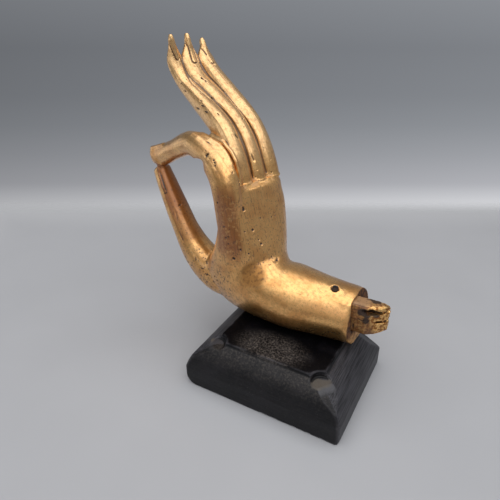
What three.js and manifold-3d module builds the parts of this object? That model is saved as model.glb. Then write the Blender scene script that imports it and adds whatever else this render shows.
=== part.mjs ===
// A carved and gilded wooden hand in the teaching gesture, lying on its forearm on a stepped and
// lacquered wooden plinth. Millimetres, +Z up, origin at the middle of the plinth's underside.
// The plinth's long side runs along X, and the forearm's sawn end points along +X.

import * as THREE from 'three';
import { mergeVertices } from 'three/addons/utils/BufferGeometryUtils.js';
import Module from 'manifold-3d';

const wasm = await Module();
wasm.setup();

const { degToRad, clamp } = THREE.MathUtils;

// Clearance all round between pieces that fit into each other.
const fitGap = 0.3;

// Plinth: an upright band, a bulging slope, and a small upright step under the flat top.
const plinthLength = 138;
const plinthDepth = 106.5;
const plinthHeight = 43;
const plinthBandHeight = 17.5;
const plinthTopLength = 94;
const plinthTopDepth = 74;
const plinthStepHeight = 2;
const plinthSlopeBulge = 4.5;
const plinthCornerRadius = 2.5;

// A gouged notch in each corner of the plinth's top, and a flat pared on the hip below it.
const notchRadius = 8.7;
const notchDepth = 5;
const hipFlatRise = 1.6;
const hipFlatSlope = 29;

// Forearm: round at its sawn end, wider and a little taller towards the wrist.
const armAxisY = 21;
const armEndX = 53;
const armEndRadius = 23.6;
const armEndTurn = -4;
const armEndTilt = 4;
const wristHalfWidth = 29;
const wristHeight = 53.5;
const seatDepth = 1;

// Hand: a broad palm that stands up from the wrist, turned a little away from the forearm.
const wristX = -25;
const wristY = 18;
const handTurn = 20;
const palmHalfWidth = 33.3;
const palmSquareness = 3;
const palmHeel = 31;
const knuckleHeight = 116.3;

// The three raised fingers, cut as one block.
const blockSide = -13.6;
const fingerPitch = 15;
const fingerOverlap = 0.5;
const fingerHalfThickness = 8.5;
const fingerTipPitch = 16;
const fingerTipHeight = 215.5;

// Where the fingers bend: how much prouder, higher and closer each is than the one before it, and
// how much slimmer and further across each of the three is than an even row would have it.
const bendStagger = 4;
const bendRise = 2.9;
const bendDrawIn = 3.4;
const fingerSlimming = [1.2, -0.6, 0.8];
const fingerSwing = [-1, -1.5, 0];

// How the block sits on the palm: the step at its foot, and the tongue that enters the palm.
const knuckleStep = 2;
const tongueWidth = 30;
const tongueThickness = 10;
const tongueDepth = 14;

// Index finger and thumb, whose tips meet in front of the palm.
const indexSide = -23.5;
const indexHalfWidth = 9.6;
const thumbSide = -25;
const thumbRadius = 10.5;

// Wrist tenon: a separate block let into the forearm's end, off its middle towards the thumb's
// side, with three rolls of unequal height carved on it. Its outer end is rounded away from its
// front. The clefts between the rolls are named by their heights above the tenon's axis.
const tenonWidth = 17;
const tenonHeight = 28;
const tenonSquareness = 5;
const tenonReach = 24.5;
const tenonInset = 28;
const tenonRise = 28.5;
const tenonSide = 5;
const rollClefts = [
  { rise: 8.6, reach: 18, width: 5.5, depth: 9 },
  { rise: 0.2, reach: 9.5, width: 2.6, depth: 9 },
];

// Peg that locks the tenon, driven in a little forward of upright and sunk below the gilding.
const pegDiameter = 5.2;
const pegInset = 19.5;
const pegLean = 3;
const pegReach = 18.8;
const pegSink = 1.2;
const pegLength = 36;

// Two screws that come up through the plinth into the forearm.
const screwShankDiameter = 4.5;
const screwHeadDiameter = 9;
const screwHeadHeight = 3;
const screwTipLength = 6;
const screwGrip = 18;
const screwSlotWidth = 1.2;
const screwSlotDepth = 1.4;
const screwMidX = -1;
const screwSpacing = 34;
const counterboreDiameter = 13;
const counterboreDepth = 16;

// Colours and finish.
const gold = { color: 0xb5893f, roughness: 0.38, metalness: 0.8 };
const bareWood = { color: 0x7a4526, roughness: 0.65, metalness: 0.1 };
const blackLacquer = { color: 0x1b1a1d, roughness: 0.35, metalness: 0 };
const pegWood = { color: 0x4a2c1a, roughness: 0.7, metalness: 0 };
const steel = { color: 0x8f9296, roughness: 0.35, metalness: 1 };

// Large enough to cut away everything on one side of a plane.
const farSize = 400;

// Turns a closed geometry into a solid whose shared corners are merged.
function toSolid(geometry) {
  const bare = geometry.index ? geometry.toNonIndexed() : geometry.clone();
  bare.deleteAttribute('normal');
  bare.deleteAttribute('uv');
  const merged = mergeVertices(bare, 1e-4);
  return new wasm.Manifold(new wasm.Mesh({
    numProp: 3,
    vertProperties: new Float32Array(merged.attributes.position.array),
    triVerts: new Uint32Array(merged.index.array),
  }));
}

function toGeometry(solid) {
  const mesh = solid.getMesh();
  const geometry = new THREE.BufferGeometry();
  geometry.setAttribute('position', new THREE.BufferAttribute(mesh.vertProperties, 3));
  geometry.setIndex(new THREE.BufferAttribute(mesh.triVerts, 1));
  return geometry.toNonIndexed();
}

function joined(solids) {
  return solids.reduce((whole, solid) => whole.add(solid));
}

function without(solid, cutters) {
  return cutters.reduce((rest, cutter) => rest.subtract(cutter), solid);
}

// A value that passes smoothly through b and c, with a and d on either side.
function smoothBetween(a, b, c, d, share) {
  const slopeB = (c - a) / 2;
  const slopeC = (d - b) / 2;
  const cubic = 2 * b - 2 * c + slopeB + slopeC;
  const square = 3 * c - 3 * b - 2 * slopeB - slopeC;
  return cubic * share ** 3 + square * share ** 2 + slopeB * share + b;
}

// Reads one named number of a row of stations at a place between 0 and 1 along the row.
function readAlong(stations, pick, place) {
  const spans = stations.length - 1;
  const k = Math.min(Math.floor(place * spans), spans - 1);
  const near = [-1, 0, 1, 2].map((offset) => pick(stations[clamp(k + offset, 0, spans)]));
  return smoothBetween(...near, place * spans - k);
}

// A closed outline between an ellipse (squareness 2) and a rectangle (large squareness).
function roundedRing(middle, wide, thick, halfWidth, halfThickness, squareness, sides) {
  const ring = [];
  for (let j = 0; j < sides; j += 1) {
    const angle = (2 * Math.PI * j) / sides;
    const c = Math.cos(angle);
    const s = Math.sin(angle);
    const reach = (Math.abs(c) ** squareness + Math.abs(s) ** squareness) ** (-1 / squareness);
    ring.push(middle.clone()
      .addScaledVector(wide, c * reach * halfWidth)
      .addScaledVector(thick, s * reach * halfThickness));
  }
  return ring;
}

function middleOf(points) {
  return points.reduce((sum, point) => sum.add(point), new THREE.Vector3()).divideScalar(points.length);
}

// A closed skin over rings that all have as many points, with a fan over each end. The rings turn
// clockwise or counterclockwise about the way from the first to the last, and both come out right.
function skinOver(rings) {
  const count = rings[0].length;
  const rows = rings.length;
  const points = rings.flat();
  const first = middleOf(rings[0]);
  const last = middleOf(rings[rows - 1]);
  const indices = [];
  for (let i = 0; i + 1 < rows; i += 1) {
    for (let j = 0; j < count; j += 1) {
      const next = (j + 1) % count;
      const near = i * count;
      const far = near + count;
      indices.push(near + j, near + next, far + next, near + j, far + next, far + j);
    }
  }
  const lastRow = (rows - 1) * count;
  for (let j = 0; j < count; j += 1) {
    const next = (j + 1) % count;
    indices.push(points.length, next, j);
    indices.push(points.length + 1, lastRow + j, lastRow + next);
  }
  const turn = new THREE.Vector3();
  rings[0].forEach((point, j) => {
    const spoke = rings[0][(j + 1) % count].clone().sub(first);
    turn.add(point.clone().sub(first).cross(spoke));
  });
  if (turn.dot(middleOf(rings[1]).sub(first)) < 0) indices.reverse();
  const geometry = new THREE.BufferGeometry();
  const numbers = [...points, first, last].flatMap((point) => point.toArray());
  geometry.setAttribute('position', new THREE.Float32BufferAttribute(numbers, 3));
  geometry.setIndex(indices);
  return geometry;
}

// A limb along a smooth path through its stations. Each ring stands square to the path, with its
// width as near as it can be to widthAxis. Where tipLength is given, the far end closes as a dome.
function limb(stations, widthAxis, { steps, sides, tipLength = 0 }) {
  const path = new THREE.CatmullRomCurve3(stations.map((s) => s.middle), false, 'centripetal');
  const rings = [];
  const addRing = (place, advance, shrink) => {
    const along = path.getTangent(place);
    const wide = widthAxis.clone().addScaledVector(along, -widthAxis.dot(along)).normalize();
    const thick = new THREE.Vector3().crossVectors(along, wide);
    rings.push(roundedRing(
      path.getPoint(place).addScaledVector(along, advance),
      wide,
      thick,
      readAlong(stations, (s) => s.halfWidth, place) * shrink,
      readAlong(stations, (s) => s.halfThickness, place) * shrink,
      readAlong(stations, (s) => s.squareness, place),
      sides,
    ));
  };
  for (let i = 0; i <= steps; i += 1) addRing(i / steps, 0, 1);
  if (tipLength > 0) {
    for (const angle of [25, 48, 66, 80].map(degToRad)) {
      addRing(1, tipLength * Math.sin(angle), Math.cos(angle));
    }
  }
  return toSolid(skinOver(rings));
}

function box(middle, size) {
  return toSolid(new THREE.BoxGeometry(...size).translate(...middle));
}

// An upright round bar between two heights.
function bar(x, y, bottom, top, diameter, sides = 32) {
  const shape = new THREE.CylinderGeometry(diameter / 2, diameter / 2, top - bottom, sides);
  return toSolid(shape.rotateX(Math.PI / 2).translate(x, y, (bottom + top) / 2));
}

// Axes of the hand: across runs from the index finger to the little finger, and back points out of
// the back of the hand.
const across = new THREE.Vector3(Math.sin(degToRad(handTurn)), Math.cos(degToRad(handTurn)), 0);
const back = new THREE.Vector3(Math.cos(degToRad(handTurn)), -Math.sin(degToRad(handTurn)), 0);

// A place in the hand: how far towards its back, how far across, and how high above the plinth.
function inHand(toBack, toSide, height) {
  return new THREE.Vector3(wristX, wristY, plinthHeight + height)
    .addScaledVector(back, toBack)
    .addScaledVector(across, toSide);
}

function handStation(toBack, toSide, height, halfWidth, halfThickness, squareness = 2.3) {
  return { middle: inHand(toBack, toSide, height), halfWidth, halfThickness, squareness };
}

// A block in the hand's axes. Its size is given to the back, across and up.
function handBox(toBack, toSide, height, size) {
  const middle = inHand(toBack, toSide, height);
  const shape = new THREE.BoxGeometry(...size).rotateZ(-degToRad(handTurn));
  return toSolid(shape.translate(...middle));
}

// Rings of the arm and palm are each given by a point of the underside or palm, the point across
// from it on the top or back, and a half width.
function armRing(x, y, under, over, halfWidth, squareness) {
  return {
    under: new THREE.Vector3(x, y, plinthHeight + under),
    over: new THREE.Vector3(x, y, plinthHeight + over),
    halfWidth,
    squareness,
    turn: 0,
  };
}

function palmRing(palmBack, palmUp, dorsalBack, dorsalUp, halfWidth, squareness, turn = handTurn) {
  return {
    under: inHand(palmBack, 0, palmUp),
    over: inHand(dorsalBack, 0, dorsalUp),
    halfWidth,
    squareness,
    turn,
  };
}

// Forearm and palm in one sweep that folds at the wrist.
function armAndPalm() {
  const endHeight = 2 * armEndRadius;
  const stations = [
    armRing(armEndX + 12, armAxisY + 0.6, -seatDepth, endHeight, armEndRadius, 2),
    armRing(armEndX - 9, armAxisY + 0.4, -seatDepth, endHeight, armEndRadius + 0.4, 2),
    armRing(20, armAxisY - 0.7, -seatDepth, wristHeight - 4.4, wristHalfWidth - 2.7, 2.1),
    armRing(-4, armAxisY - 2, -seatDepth, wristHeight - 0.9, wristHalfWidth, 2.2),
    palmRing(-20, -seatDepth, 11, wristHeight + 0.5, wristHalfWidth + 1, 2.2, handTurn * 0.4),
    palmRing(-46, 0, 9.5, wristHeight + 2.5, palmHalfWidth - 2.3, 2.2, handTurn * 0.7),
    palmRing(-66, 11, 4, wristHeight + 6, palmHalfWidth - 0.8, 2.3),
    palmRing(-62, palmHeel + 5, 0, wristHeight + 14, palmHalfWidth, 2.6),
    palmRing(-46, palmHeel + 29, -6, wristHeight + 26, palmHalfWidth, palmSquareness),
    palmRing(-37.5, 84, -11, 94, palmHalfWidth, palmSquareness),
    palmRing(-41.4, knuckleHeight - 13, -15.3, knuckleHeight - 9.5, palmHalfWidth, palmSquareness),
    palmRing(-46.2, knuckleHeight + 4.7, -19.6, knuckleHeight + 5.7, palmHalfWidth, palmSquareness),
  ];
  const sides = 36;
  const steps = 36;
  const rings = [];
  for (let i = 0; i <= steps; i += 1) {
    const place = i / steps;
    const read = (pick) => readAlong(stations, pick, place);
    const under = new THREE.Vector3(read((s) => s.under.x), read((s) => s.under.y), read((s) => s.under.z));
    const over = new THREE.Vector3(read((s) => s.over.x), read((s) => s.over.y), read((s) => s.over.z));
    const turn = degToRad(read((s) => s.turn));
    const wide = new THREE.Vector3(Math.sin(turn), Math.cos(turn), 0);
    const thick = over.clone().sub(under).multiplyScalar(0.5);
    const middle = under.clone().add(thick);
    const halfWidth = read((s) => s.halfWidth);
    const squareness = read((s) => s.squareness);
    rings.push(roundedRing(middle, wide, thick, halfWidth, 1, squareness, sides));
  }
  return toSolid(skinOver(rings));
}

function indexFinger() {
  const w = indexHalfWidth;
  const side = indexSide;
  return limb([
    handStation(-24, side, 78, w, 9, 3),
    handStation(-26, side, 96, w, 11.7, 2.8),
    handStation(-28.3, side, 111, w, 13, 2.6),
    handStation(-34.5, side, 125.5, w, 12.8, 2.4),
    handStation(-51, side, 138, w, 11.5, 2.2),
    handStation(-72, side, 143.3, w, 10.5, 2.1),
    handStation(-97, side - 0.5, 133.5, w - 0.8, 8.8, 2.1),
    handStation(-117, side - 1, 123.8, w - 1.6, 9.3, 2.1),
    handStation(-130, side - 1.5, 119.5, w - 2.6, 8.6, 2.3),
  ], across, { steps: 28, sides: 20, tipLength: 4.5 });
}

function thumb() {
  const r = thumbRadius;
  const side = thumbSide;
  return limb([
    handStation(-28, side + 13, 26, 17, 17),
    handStation(-53, side + 8, 26, 17, 17),
    handStation(-75, side + 3, 40, 14.5, 14.5),
    handStation(-90, side, 60, r + 1.2, r + 0.8),
    handStation(-105, side, 80, r - 0.2, r - 0.6),
    handStation(-117, side, 97, r - 1.6, r - 1.4),
    handStation(-124, side, 108, r - 2.8, r - 2.2),
  ], across, { steps: 24, sides: 20, tipLength: 4 });
}

// One raised finger. They rise together, lean over the palm, and curl back at the tips. Where they
// bend their row is turned: the middle finger lies deeper there, and the little finger is proud.
function raisedFinger(number) {
  const half = fingerPitch / 2 + fingerOverlap;
  const root = blockSide + half + number * fingerPitch;
  const tip = root + (number - 1) * (fingerTipPitch - fingerPitch) - 2;
  const t = fingerHalfThickness;
  const shorter = number === 2 ? 4 : 0;
  const slimmer = fingerSlimming[number];
  const bend = (toBack, share, height, turned, halfThickness, squareness) => {
    const proud = (number - 1) * turned;
    return handStation(
      toBack + proud * bendStagger,
      root + (tip - root) * share - proud * bendDrawIn + fingerSwing[number] * turned,
      height + proud * bendRise,
      half - slimmer * turned,
      halfThickness,
      squareness,
    );
  };
  return limb([
    handStation(-29.5, root, knuckleHeight - 12, half, t + 3.3 - knuckleStep * 0.5, 2.8),
    handStation(-34.6, root, knuckleHeight + 6, half, t + 2.8 - knuckleStep * 0.5, 2.8),
    handStation(-41.3, root, knuckleHeight + 22, half, t + 0.8, 2.7),
    handStation(-56, root, 155.8, half, t + 1.2, 2.6),
    bend(-84, 0.3, 175, 0.6, t - 0.4, 2.6),
    bend(-105, 0.65, 189.5, 1, t - 2.6, 2.6),
    bend(-115, 0.9, 203 - shorter * 0.5, 0.5, t - 3.9, 2.4),
    handStation(-117.5, tip, fingerTipHeight - shorter, 3.2, 2.7, 2),
  ], across, { steps: 30, sides: 16, tipLength: 7 });
}

// The block's tongue, or with a gap the mortise that takes it.
function tongue(gap) {
  const side = blockSide + (3 * fingerPitch) / 2 + fingerOverlap;
  const height = tongueDepth + gap + 4;
  return handBox(-30.5, side, knuckleHeight + 4 - height / 2, [
    tongueThickness + 2 * gap,
    tongueWidth + 2 * gap,
    height,
  ]);
}

function fingerBlock() {
  const fingers = joined([0, 1, 2].map(raisedFinger));
  const below = handBox(0, 0, knuckleHeight + fitGap - farSize / 2, [farSize, farSize, farSize]);
  return fingers.subtract(below).add(tongue(0));
}

// Where the finger block stands: everything above the knuckles on the block's side of the palm.
function fingerRoom() {
  const middleSide = blockSide - fitGap + farSize / 2;
  const above = handBox(0, middleSide, knuckleHeight + farSize / 2, [farSize, farSize, farSize]);
  return above.add(tongue(fitGap));
}

const tenonY = armAxisY - tenonSide;

// The tenon's body along X, or with a gap the mortise, between places that each name how far they
// are from the forearm's end, what shares of the full width and height are left there, and how
// far the section's middle has moved towards the back and up.
function tenonBody(places, gap) {
  const rings = places.map(([reach, wide = 1, tall = 1, shift = 0, lift = 0]) => roundedRing(
    new THREE.Vector3(armEndX + reach, tenonY + shift, plinthHeight + tenonRise + lift),
    new THREE.Vector3(0, 1, 0),
    new THREE.Vector3(0, 0, 1),
    (tenonWidth / 2) * wide + gap,
    (tenonHeight / 2) * tall + gap,
    tenonSquareness,
    24,
  ));
  return toSolid(skinOver(rings));
}

// A cleft between two rolls: a wedge, narrow at the end of the tenon, cut in from its front.
function frontCleft({ rise, reach, width, depth }) {
  const outline = new THREE.Shape([
    new THREE.Vector2(0, -0.5),
    new THREE.Vector2(2, -0.5),
    new THREE.Vector2(2, 0.5),
    new THREE.Vector2(0, 0.5),
    new THREE.Vector2(-reach * 0.7, width / 2),
    new THREE.Vector2(-reach, 0),
    new THREE.Vector2(-reach * 0.8, -width / 2),
  ]);
  const cut = new THREE.ExtrudeGeometry(outline, { depth: depth + 10, bevelEnabled: false });
  cut.rotateX(Math.PI / 2);
  cut.translate(armEndX + tenonReach, tenonY - tenonWidth / 2 + depth, plinthHeight + tenonRise + rise);
  return toSolid(cut);
}

// A round-bottomed groove that runs along Y across the end, between two rolls.
function endGroove({ rise }) {
  const groove = new THREE.CylinderGeometry(1, 1, tenonWidth + 4, 12);
  groove.scale(3.6, 1, 1.1).translate(armEndX + tenonReach, tenonY, plinthHeight + tenonRise + rise);
  return toSolid(groove);
}

function wristTenon() {
  const body = tenonBody([
    [-tenonInset],
    [9],
    [tenonReach - 9, 0.8, 0.96, 1.5, 0.4],
    [tenonReach - 5, 0.64, 0.9, 2.6, 0.8],
    [tenonReach - 2, 0.44, 0.8, 3.6, 0.9],
    [tenonReach, 0.26, 0.66, 4.2, 0.9],
  ], 0);
  return without(body, [...rollClefts.map(frontCleft), ...rollClefts.map(endGroove), pegHole()]);
}

// A round bar on the peg's line, between two distances from the tenon's axis.
function barOnPegLine(bottom, top, diameter) {
  const shape = new THREE.CylinderGeometry(diameter / 2, diameter / 2, top - bottom, 24);
  shape.rotateX(Math.PI / 2).translate(0, 0, (bottom + top) / 2).rotateX(degToRad(pegLean));
  return toSolid(shape.translate(armEndX - pegInset, tenonY, plinthHeight + tenonRise));
}

const pegTop = pegReach - pegSink;
const pegBottom = pegTop - pegLength;

function pegHole() {
  return barOnPegLine(pegBottom - fitGap, pegTop + 10, pegDiameter + 2 * fitGap);
}

const screwPlaces = [-1, 1].map((end) => screwMidX + (end * screwSpacing) / 2);
const screwTop = plinthHeight + screwGrip;

function screw(x) {
  const r = screwShankDiameter / 2;
  const head = screwHeadDiameter / 2;
  const seat = counterboreDepth;
  const profile = [
    [0, seat - screwHeadHeight],
    [head * 0.75, seat - screwHeadHeight],
    [head, seat - screwHeadHeight * 0.45],
    [head, seat],
    [r, seat],
    [r, screwTop - screwTipLength],
    [0, screwTop],
  ];
  const outline = profile.map(([radius, height]) => new THREE.Vector2(radius, height));
  const shape = new THREE.LatheGeometry(outline, 24);
  const body = toSolid(shape.rotateX(Math.PI / 2).translate(x, armAxisY - 1, 0));
  const slotHeight = 2 * screwSlotDepth;
  const slot = box(
    [x, armAxisY - 1, seat - screwHeadHeight],
    [screwHeadDiameter + 2, screwSlotWidth, slotHeight],
  );
  return body.subtract(slot);
}

function carvedHand() {
  const cut = [farSize, farSize, farSize];
  const belowSeat = box([0, 0, plinthHeight - farSize / 2], cut);
  const pastEnd = new THREE.BoxGeometry(...cut).translate(farSize / 2, 0, 0);
  pastEnd.rotateY(-degToRad(armEndTilt)).rotateZ(degToRad(armEndTurn));
  pastEnd.translate(armEndX, armAxisY, plinthHeight + armEndRadius);
  const pilots = screwPlaces.map((x) => (
    bar(x, armAxisY - 1, plinthHeight - 5, screwTop + fitGap, screwShankDiameter + 2 * fitGap)
  ));
  const arm = armAndPalm().add(indexFinger()).subtract(fingerRoom()).add(thumb());
  return without(arm, [
    belowSeat,
    toSolid(pastEnd),
    tenonBody([[-tenonInset - fitGap], [farSize / 2]], fitGap),
    pegHole(),
    ...pilots,
  ]);
}

// One level of the plinth: a rectangle with small round corners.
function plinthRing(halfLength, halfDepth, z) {
  const r = plinthCornerRadius;
  const ring = [];
  for (const [sideX, sideY, start] of [[1, 1, 0], [-1, 1, 90], [-1, -1, 180], [1, -1, 270]]) {
    for (const part of [0, 30, 60, 90]) {
      const angle = degToRad(start + part);
      const x = sideX * (halfLength - r) + r * Math.cos(angle);
      const y = sideY * (halfDepth - r) + r * Math.sin(angle);
      ring.push(new THREE.Vector3(x, y, z));
    }
  }
  return ring;
}

function plinth() {
  const slopeTop = plinthHeight - plinthStepHeight;
  const slopeX = (plinthLength - plinthTopLength) / 2;
  const slopeY = (plinthDepth - plinthTopDepth) / 2;
  const slopeRise = slopeTop - plinthBandHeight;
  const rings = [plinthRing(plinthLength / 2, plinthDepth / 2, 0)];
  const steps = 10;
  for (let i = 0; i <= steps; i += 1) {
    const share = i / steps;
    const bulge = plinthSlopeBulge * Math.sin(Math.PI * share);
    const inX = slopeX * share - (bulge * slopeRise) / Math.hypot(slopeX, slopeRise);
    const inY = slopeY * share - (bulge * slopeRise) / Math.hypot(slopeX, slopeRise);
    const z = plinthBandHeight + slopeRise * share + (bulge * slopeX) / Math.hypot(slopeX, slopeRise);
    rings.push(plinthRing(plinthLength / 2 - inX, plinthDepth / 2 - inY, z));
  }
  rings.push(plinthRing(plinthTopLength / 2, plinthTopDepth / 2, plinthHeight));
  const cutters = [];
  for (const sideX of [-1, 1]) {
    for (const sideY of [-1, 1]) {
      const cornerX = (sideX * plinthTopLength) / 2;
      const cornerY = (sideY * plinthTopDepth) / 2;
      cutters.push(bar(cornerX, cornerY, plinthHeight - notchDepth, plinthHeight + 5, 2 * notchRadius));
      const flat = new THREE.BoxGeometry(40, 40, 20).translate(20, 0, 10);
      flat.rotateY(degToRad(hipFlatSlope)).rotateZ(Math.atan2(sideY * slopeY, sideX * slopeX));
      cutters.push(toSolid(flat.translate(cornerX, cornerY, plinthHeight - notchDepth + hipFlatRise)));
    }
  }
  for (const x of screwPlaces) {
    cutters.push(bar(x, armAxisY - 1, -5, counterboreDepth, counterboreDiameter));
    cutters.push(bar(x, armAxisY - 1, -5, plinthHeight + 5, screwShankDiameter + 2 * fitGap));
  }
  return without(toSolid(skinOver(rings)), cutters);
}

const model = new THREE.Group();

function place(name, solid, finish) {
  const mesh = new THREE.Mesh(toGeometry(solid), new THREE.MeshStandardMaterial(finish));
  mesh.name = name;
  model.add(mesh);
}

place('plinth', plinth(), blackLacquer);
place('carved_hand', carvedHand(), gold);
place('finger_block', fingerBlock(), gold);
place('wrist_tenon', wristTenon(), bareWood);
place('tenon_peg', barOnPegLine(pegBottom, pegTop, pegDiameter), pegWood);
place('screw_left', screw(screwPlaces[0]), steel);
place('screw_right', screw(screwPlaces[1]), steel);

export default model;
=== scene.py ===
"""The looks of a carved and gilded wooden hand on its stepped black lacquered plinth.

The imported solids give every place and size. Each carved piece is turned into a block of signed
distances, carved further there, and skinned again as a fine mesh. Lengths are in millimetres until
a mesh is made, and in metres after that.
"""

import logging
import math
from dataclasses import dataclass, field, replace
from enum import Enum
from functools import reduce
from typing import Any, Callable

import bpy
import numpy as np
import openvdb
from mathutils import Matrix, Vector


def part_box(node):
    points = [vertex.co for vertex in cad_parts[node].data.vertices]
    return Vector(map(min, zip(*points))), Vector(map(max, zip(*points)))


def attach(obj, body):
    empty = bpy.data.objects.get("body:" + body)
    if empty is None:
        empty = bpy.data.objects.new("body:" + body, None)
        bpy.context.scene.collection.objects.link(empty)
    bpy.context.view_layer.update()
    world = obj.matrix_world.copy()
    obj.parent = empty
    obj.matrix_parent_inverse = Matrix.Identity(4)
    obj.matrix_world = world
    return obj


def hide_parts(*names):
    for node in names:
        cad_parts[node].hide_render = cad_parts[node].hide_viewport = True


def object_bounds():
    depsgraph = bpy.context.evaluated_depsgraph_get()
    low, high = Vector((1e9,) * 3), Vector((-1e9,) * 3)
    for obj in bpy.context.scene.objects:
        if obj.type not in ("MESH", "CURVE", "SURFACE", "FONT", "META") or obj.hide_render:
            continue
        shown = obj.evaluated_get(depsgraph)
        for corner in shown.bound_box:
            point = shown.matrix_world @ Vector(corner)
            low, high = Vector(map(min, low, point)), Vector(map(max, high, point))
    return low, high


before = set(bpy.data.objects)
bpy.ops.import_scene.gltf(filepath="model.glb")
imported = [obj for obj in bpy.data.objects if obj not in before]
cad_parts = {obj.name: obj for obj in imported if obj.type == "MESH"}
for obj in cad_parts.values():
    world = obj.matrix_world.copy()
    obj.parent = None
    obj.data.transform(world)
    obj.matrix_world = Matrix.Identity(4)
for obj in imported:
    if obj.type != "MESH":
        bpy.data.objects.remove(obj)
CAD_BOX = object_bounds()

LOG = logging.getLogger("scene")
MM = 0.001
COARSER = 1
PLINTH_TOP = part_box("plinth")[1].z / MM
SAWN_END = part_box("carved_hand")[1].x / MM

# A tapered line thins out over a quarter of its length at each end, down to a share of its depth.
TAPERS = 4
THINNEST = 0.15
# How much of a raised plate's half width its edge takes.
PLATE_EDGE = 0.35
# How broad an arris is when it is looked at for chips.
ARRIS = 1.5
# Where wear starts and is full, and where the painted shade of a hollow starts and is full. The
# heights are shares of the size of the forms looked at.
WORN = (0.12, 0.34)
HOLLOW_SHADE = (-0.06, -0.3)
# A pit's radius and depth as shares of its size, and how quickly dirt fills it.
PIT_RADIUS = 0.62
PIT_DEPTH = 1.3
PIT_DIRT = 2.5

Triple = tuple[float, float, float]
Axes = tuple[np.ndarray, np.ndarray, np.ndarray]
Part = tuple[slice, slice, slice]


def linear(hex_colour: str) -> tuple[float, float, float, float]:
    """Turns an sRGB hex colour into linear light.

    Args:
        hex_colour: Six hex digits, with or without a hash.

    Returns:
        Linear red, green, blue and an alpha of 1.
    """
    digits = hex_colour.lstrip("#")
    shares = [int(digits[i:i + 2], 16) / 255 for i in (0, 2, 4)]
    red, green, blue = (s / 12.92 if s <= 0.04045 else ((s + 0.055) / 1.055) ** 2.4 for s in shares)
    return red, green, blue, 1.0


def smooth_step(low: float, high: float, value: np.ndarray) -> np.ndarray:
    """Rises smoothly from 0 at low to 1 at high, and falls where high is below low."""
    share = np.clip((value - low) / (high - low), 0.0, 1.0)
    return share * share * (3 - 2 * share)


def region(*ramps: tuple[np.ndarray, float, float]) -> np.ndarray:
    """Marks a part of a piece: each ramp is a coordinate and its values outside and inside."""
    return reduce(np.multiply, (smooth_step(outside, inside, value) for value, outside, inside in ramps))


def greatest(*values: np.ndarray) -> np.ndarray:
    """Gives the greatest of several values at each place."""
    return reduce(np.maximum, values)


def box_of(node: str) -> tuple[np.ndarray, np.ndarray]:
    """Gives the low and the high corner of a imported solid, in millimetres."""
    low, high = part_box(node)
    return np.array(low) / MM, np.array(high) / MM


def add_object(name: str, data: Any) -> bpy.types.Object:
    """Puts a new object into the scene.

    Args:
        name: The object's name.
        data: Its mesh, lamp or camera.

    Returns:
        The object.
    """
    thing = bpy.data.objects.new(name, data)
    bpy.context.scene.collection.objects.link(thing)
    return thing


@dataclass(frozen=True)
class HandAxes:
    """The hand's own axes: out of its back, across it to the little finger, and up."""

    wrist: Triple = (-25.0, 18.0, PLINTH_TOP)
    turn: float = math.radians(20)

    def place(self, x: np.ndarray, y: np.ndarray, z: np.ndarray) -> Axes:
        """Gives the back, side and up coordinates of places in the frame.

        Args:
            x: Places along the plinth.
            y: Places across the plinth.
            z: Heights above the table.

        Returns:
            The same places as back, side and up.
        """
        along, over = x - self.wrist[0], y - self.wrist[1]
        c, s = math.cos(self.turn), math.sin(self.turn)
        return along * c - over * s, along * s + over * c, z - self.wrist[2]

    def point(self, place: Triple) -> np.ndarray:
        """Gives the frame's coordinates of one place in the hand.

        Args:
            place: Back, side and up.

        Returns:
            The place as x, y and z.
        """
        back, side, up = place
        c, s = math.cos(self.turn), math.sin(self.turn)
        x, y, z = self.wrist
        return np.array([x + back * c + side * s, y - back * s + side * c, z + up])


@dataclass(frozen=True)
class FrameAxes:
    """The frame's own axes, for carving a piece that isn't part of the hand."""

    def place(self, x: np.ndarray, y: np.ndarray, z: np.ndarray) -> Axes:
        """Gives the places unchanged."""
        return x, y, z

    def point(self, place: Triple) -> np.ndarray:
        """Gives the place unchanged, as an array."""
        return np.array(place)


HAND = HandAxes()
FRAME = FrameAxes()


class Section(Enum):
    """The cross section of a carved line."""

    KNIFE = "knife"
    GOUGE = "gouge"
    PLATE = "plate"


class Facing(Enum):
    """The direction that a carved line is seen from, in which its place counts little."""

    BACK = (0.25, 1.0, 1.0)
    SIDE = (1.0, 0.25, 1.0)
    ALL = (1.0, 1.0, 1.0)


@dataclass(frozen=True)
class Line:
    """A line cut into the surface, or raised on it where its depth is below 0."""

    path: tuple[Triple, ...]
    width: float
    depth: float
    section: Section = Section.KNIFE
    facing: Facing = Facing.BACK
    dirt: float = 1.0
    tapered: bool = True


@dataclass(frozen=True)
class Pit:
    """A hole left by an insect or a knock."""

    place: Triple
    size: float
    facing: Facing = Facing.BACK


def soft_least(a: np.ndarray, b: np.ndarray, blend: float) -> np.ndarray:
    """Gives the lesser of two distances, with the corner between the two shapes filled."""
    share = np.clip(0.5 + 0.5 * (b - a) / blend, 0.0, 1.0)
    return b + (a - b) * share - blend * share * (1 - share)


def spline_weights(count: int, start: float, step: float, knots: int) -> np.ndarray:
    """Cubic B-spline weights that spread a coarse row of values over a fine one.

    Args:
        count: How many fine places there are.
        start: The first fine place, counted in coarse steps.
        step: A fine step, counted in coarse steps.
        knots: How many coarse values there are.

    Returns:
        A matrix of count rows and knots columns.
    """
    places = start + step * np.arange(count)
    weights = np.zeros((count, knots), np.float32)
    whole = np.floor(places).astype(int)
    t = places - whole
    cubic = ((1 - t) ** 3 / 6, (3 * t ** 3 - 6 * t ** 2 + 4) / 6,
             (-3 * t ** 3 + 3 * t ** 2 + 3 * t + 1) / 6, t ** 3 / 6)
    for offset, share in enumerate(cubic):
        column = np.clip(whole + offset - 1, 0, knots - 1)
        np.add.at(weights, (np.arange(count), column), share)
    return weights


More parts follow.
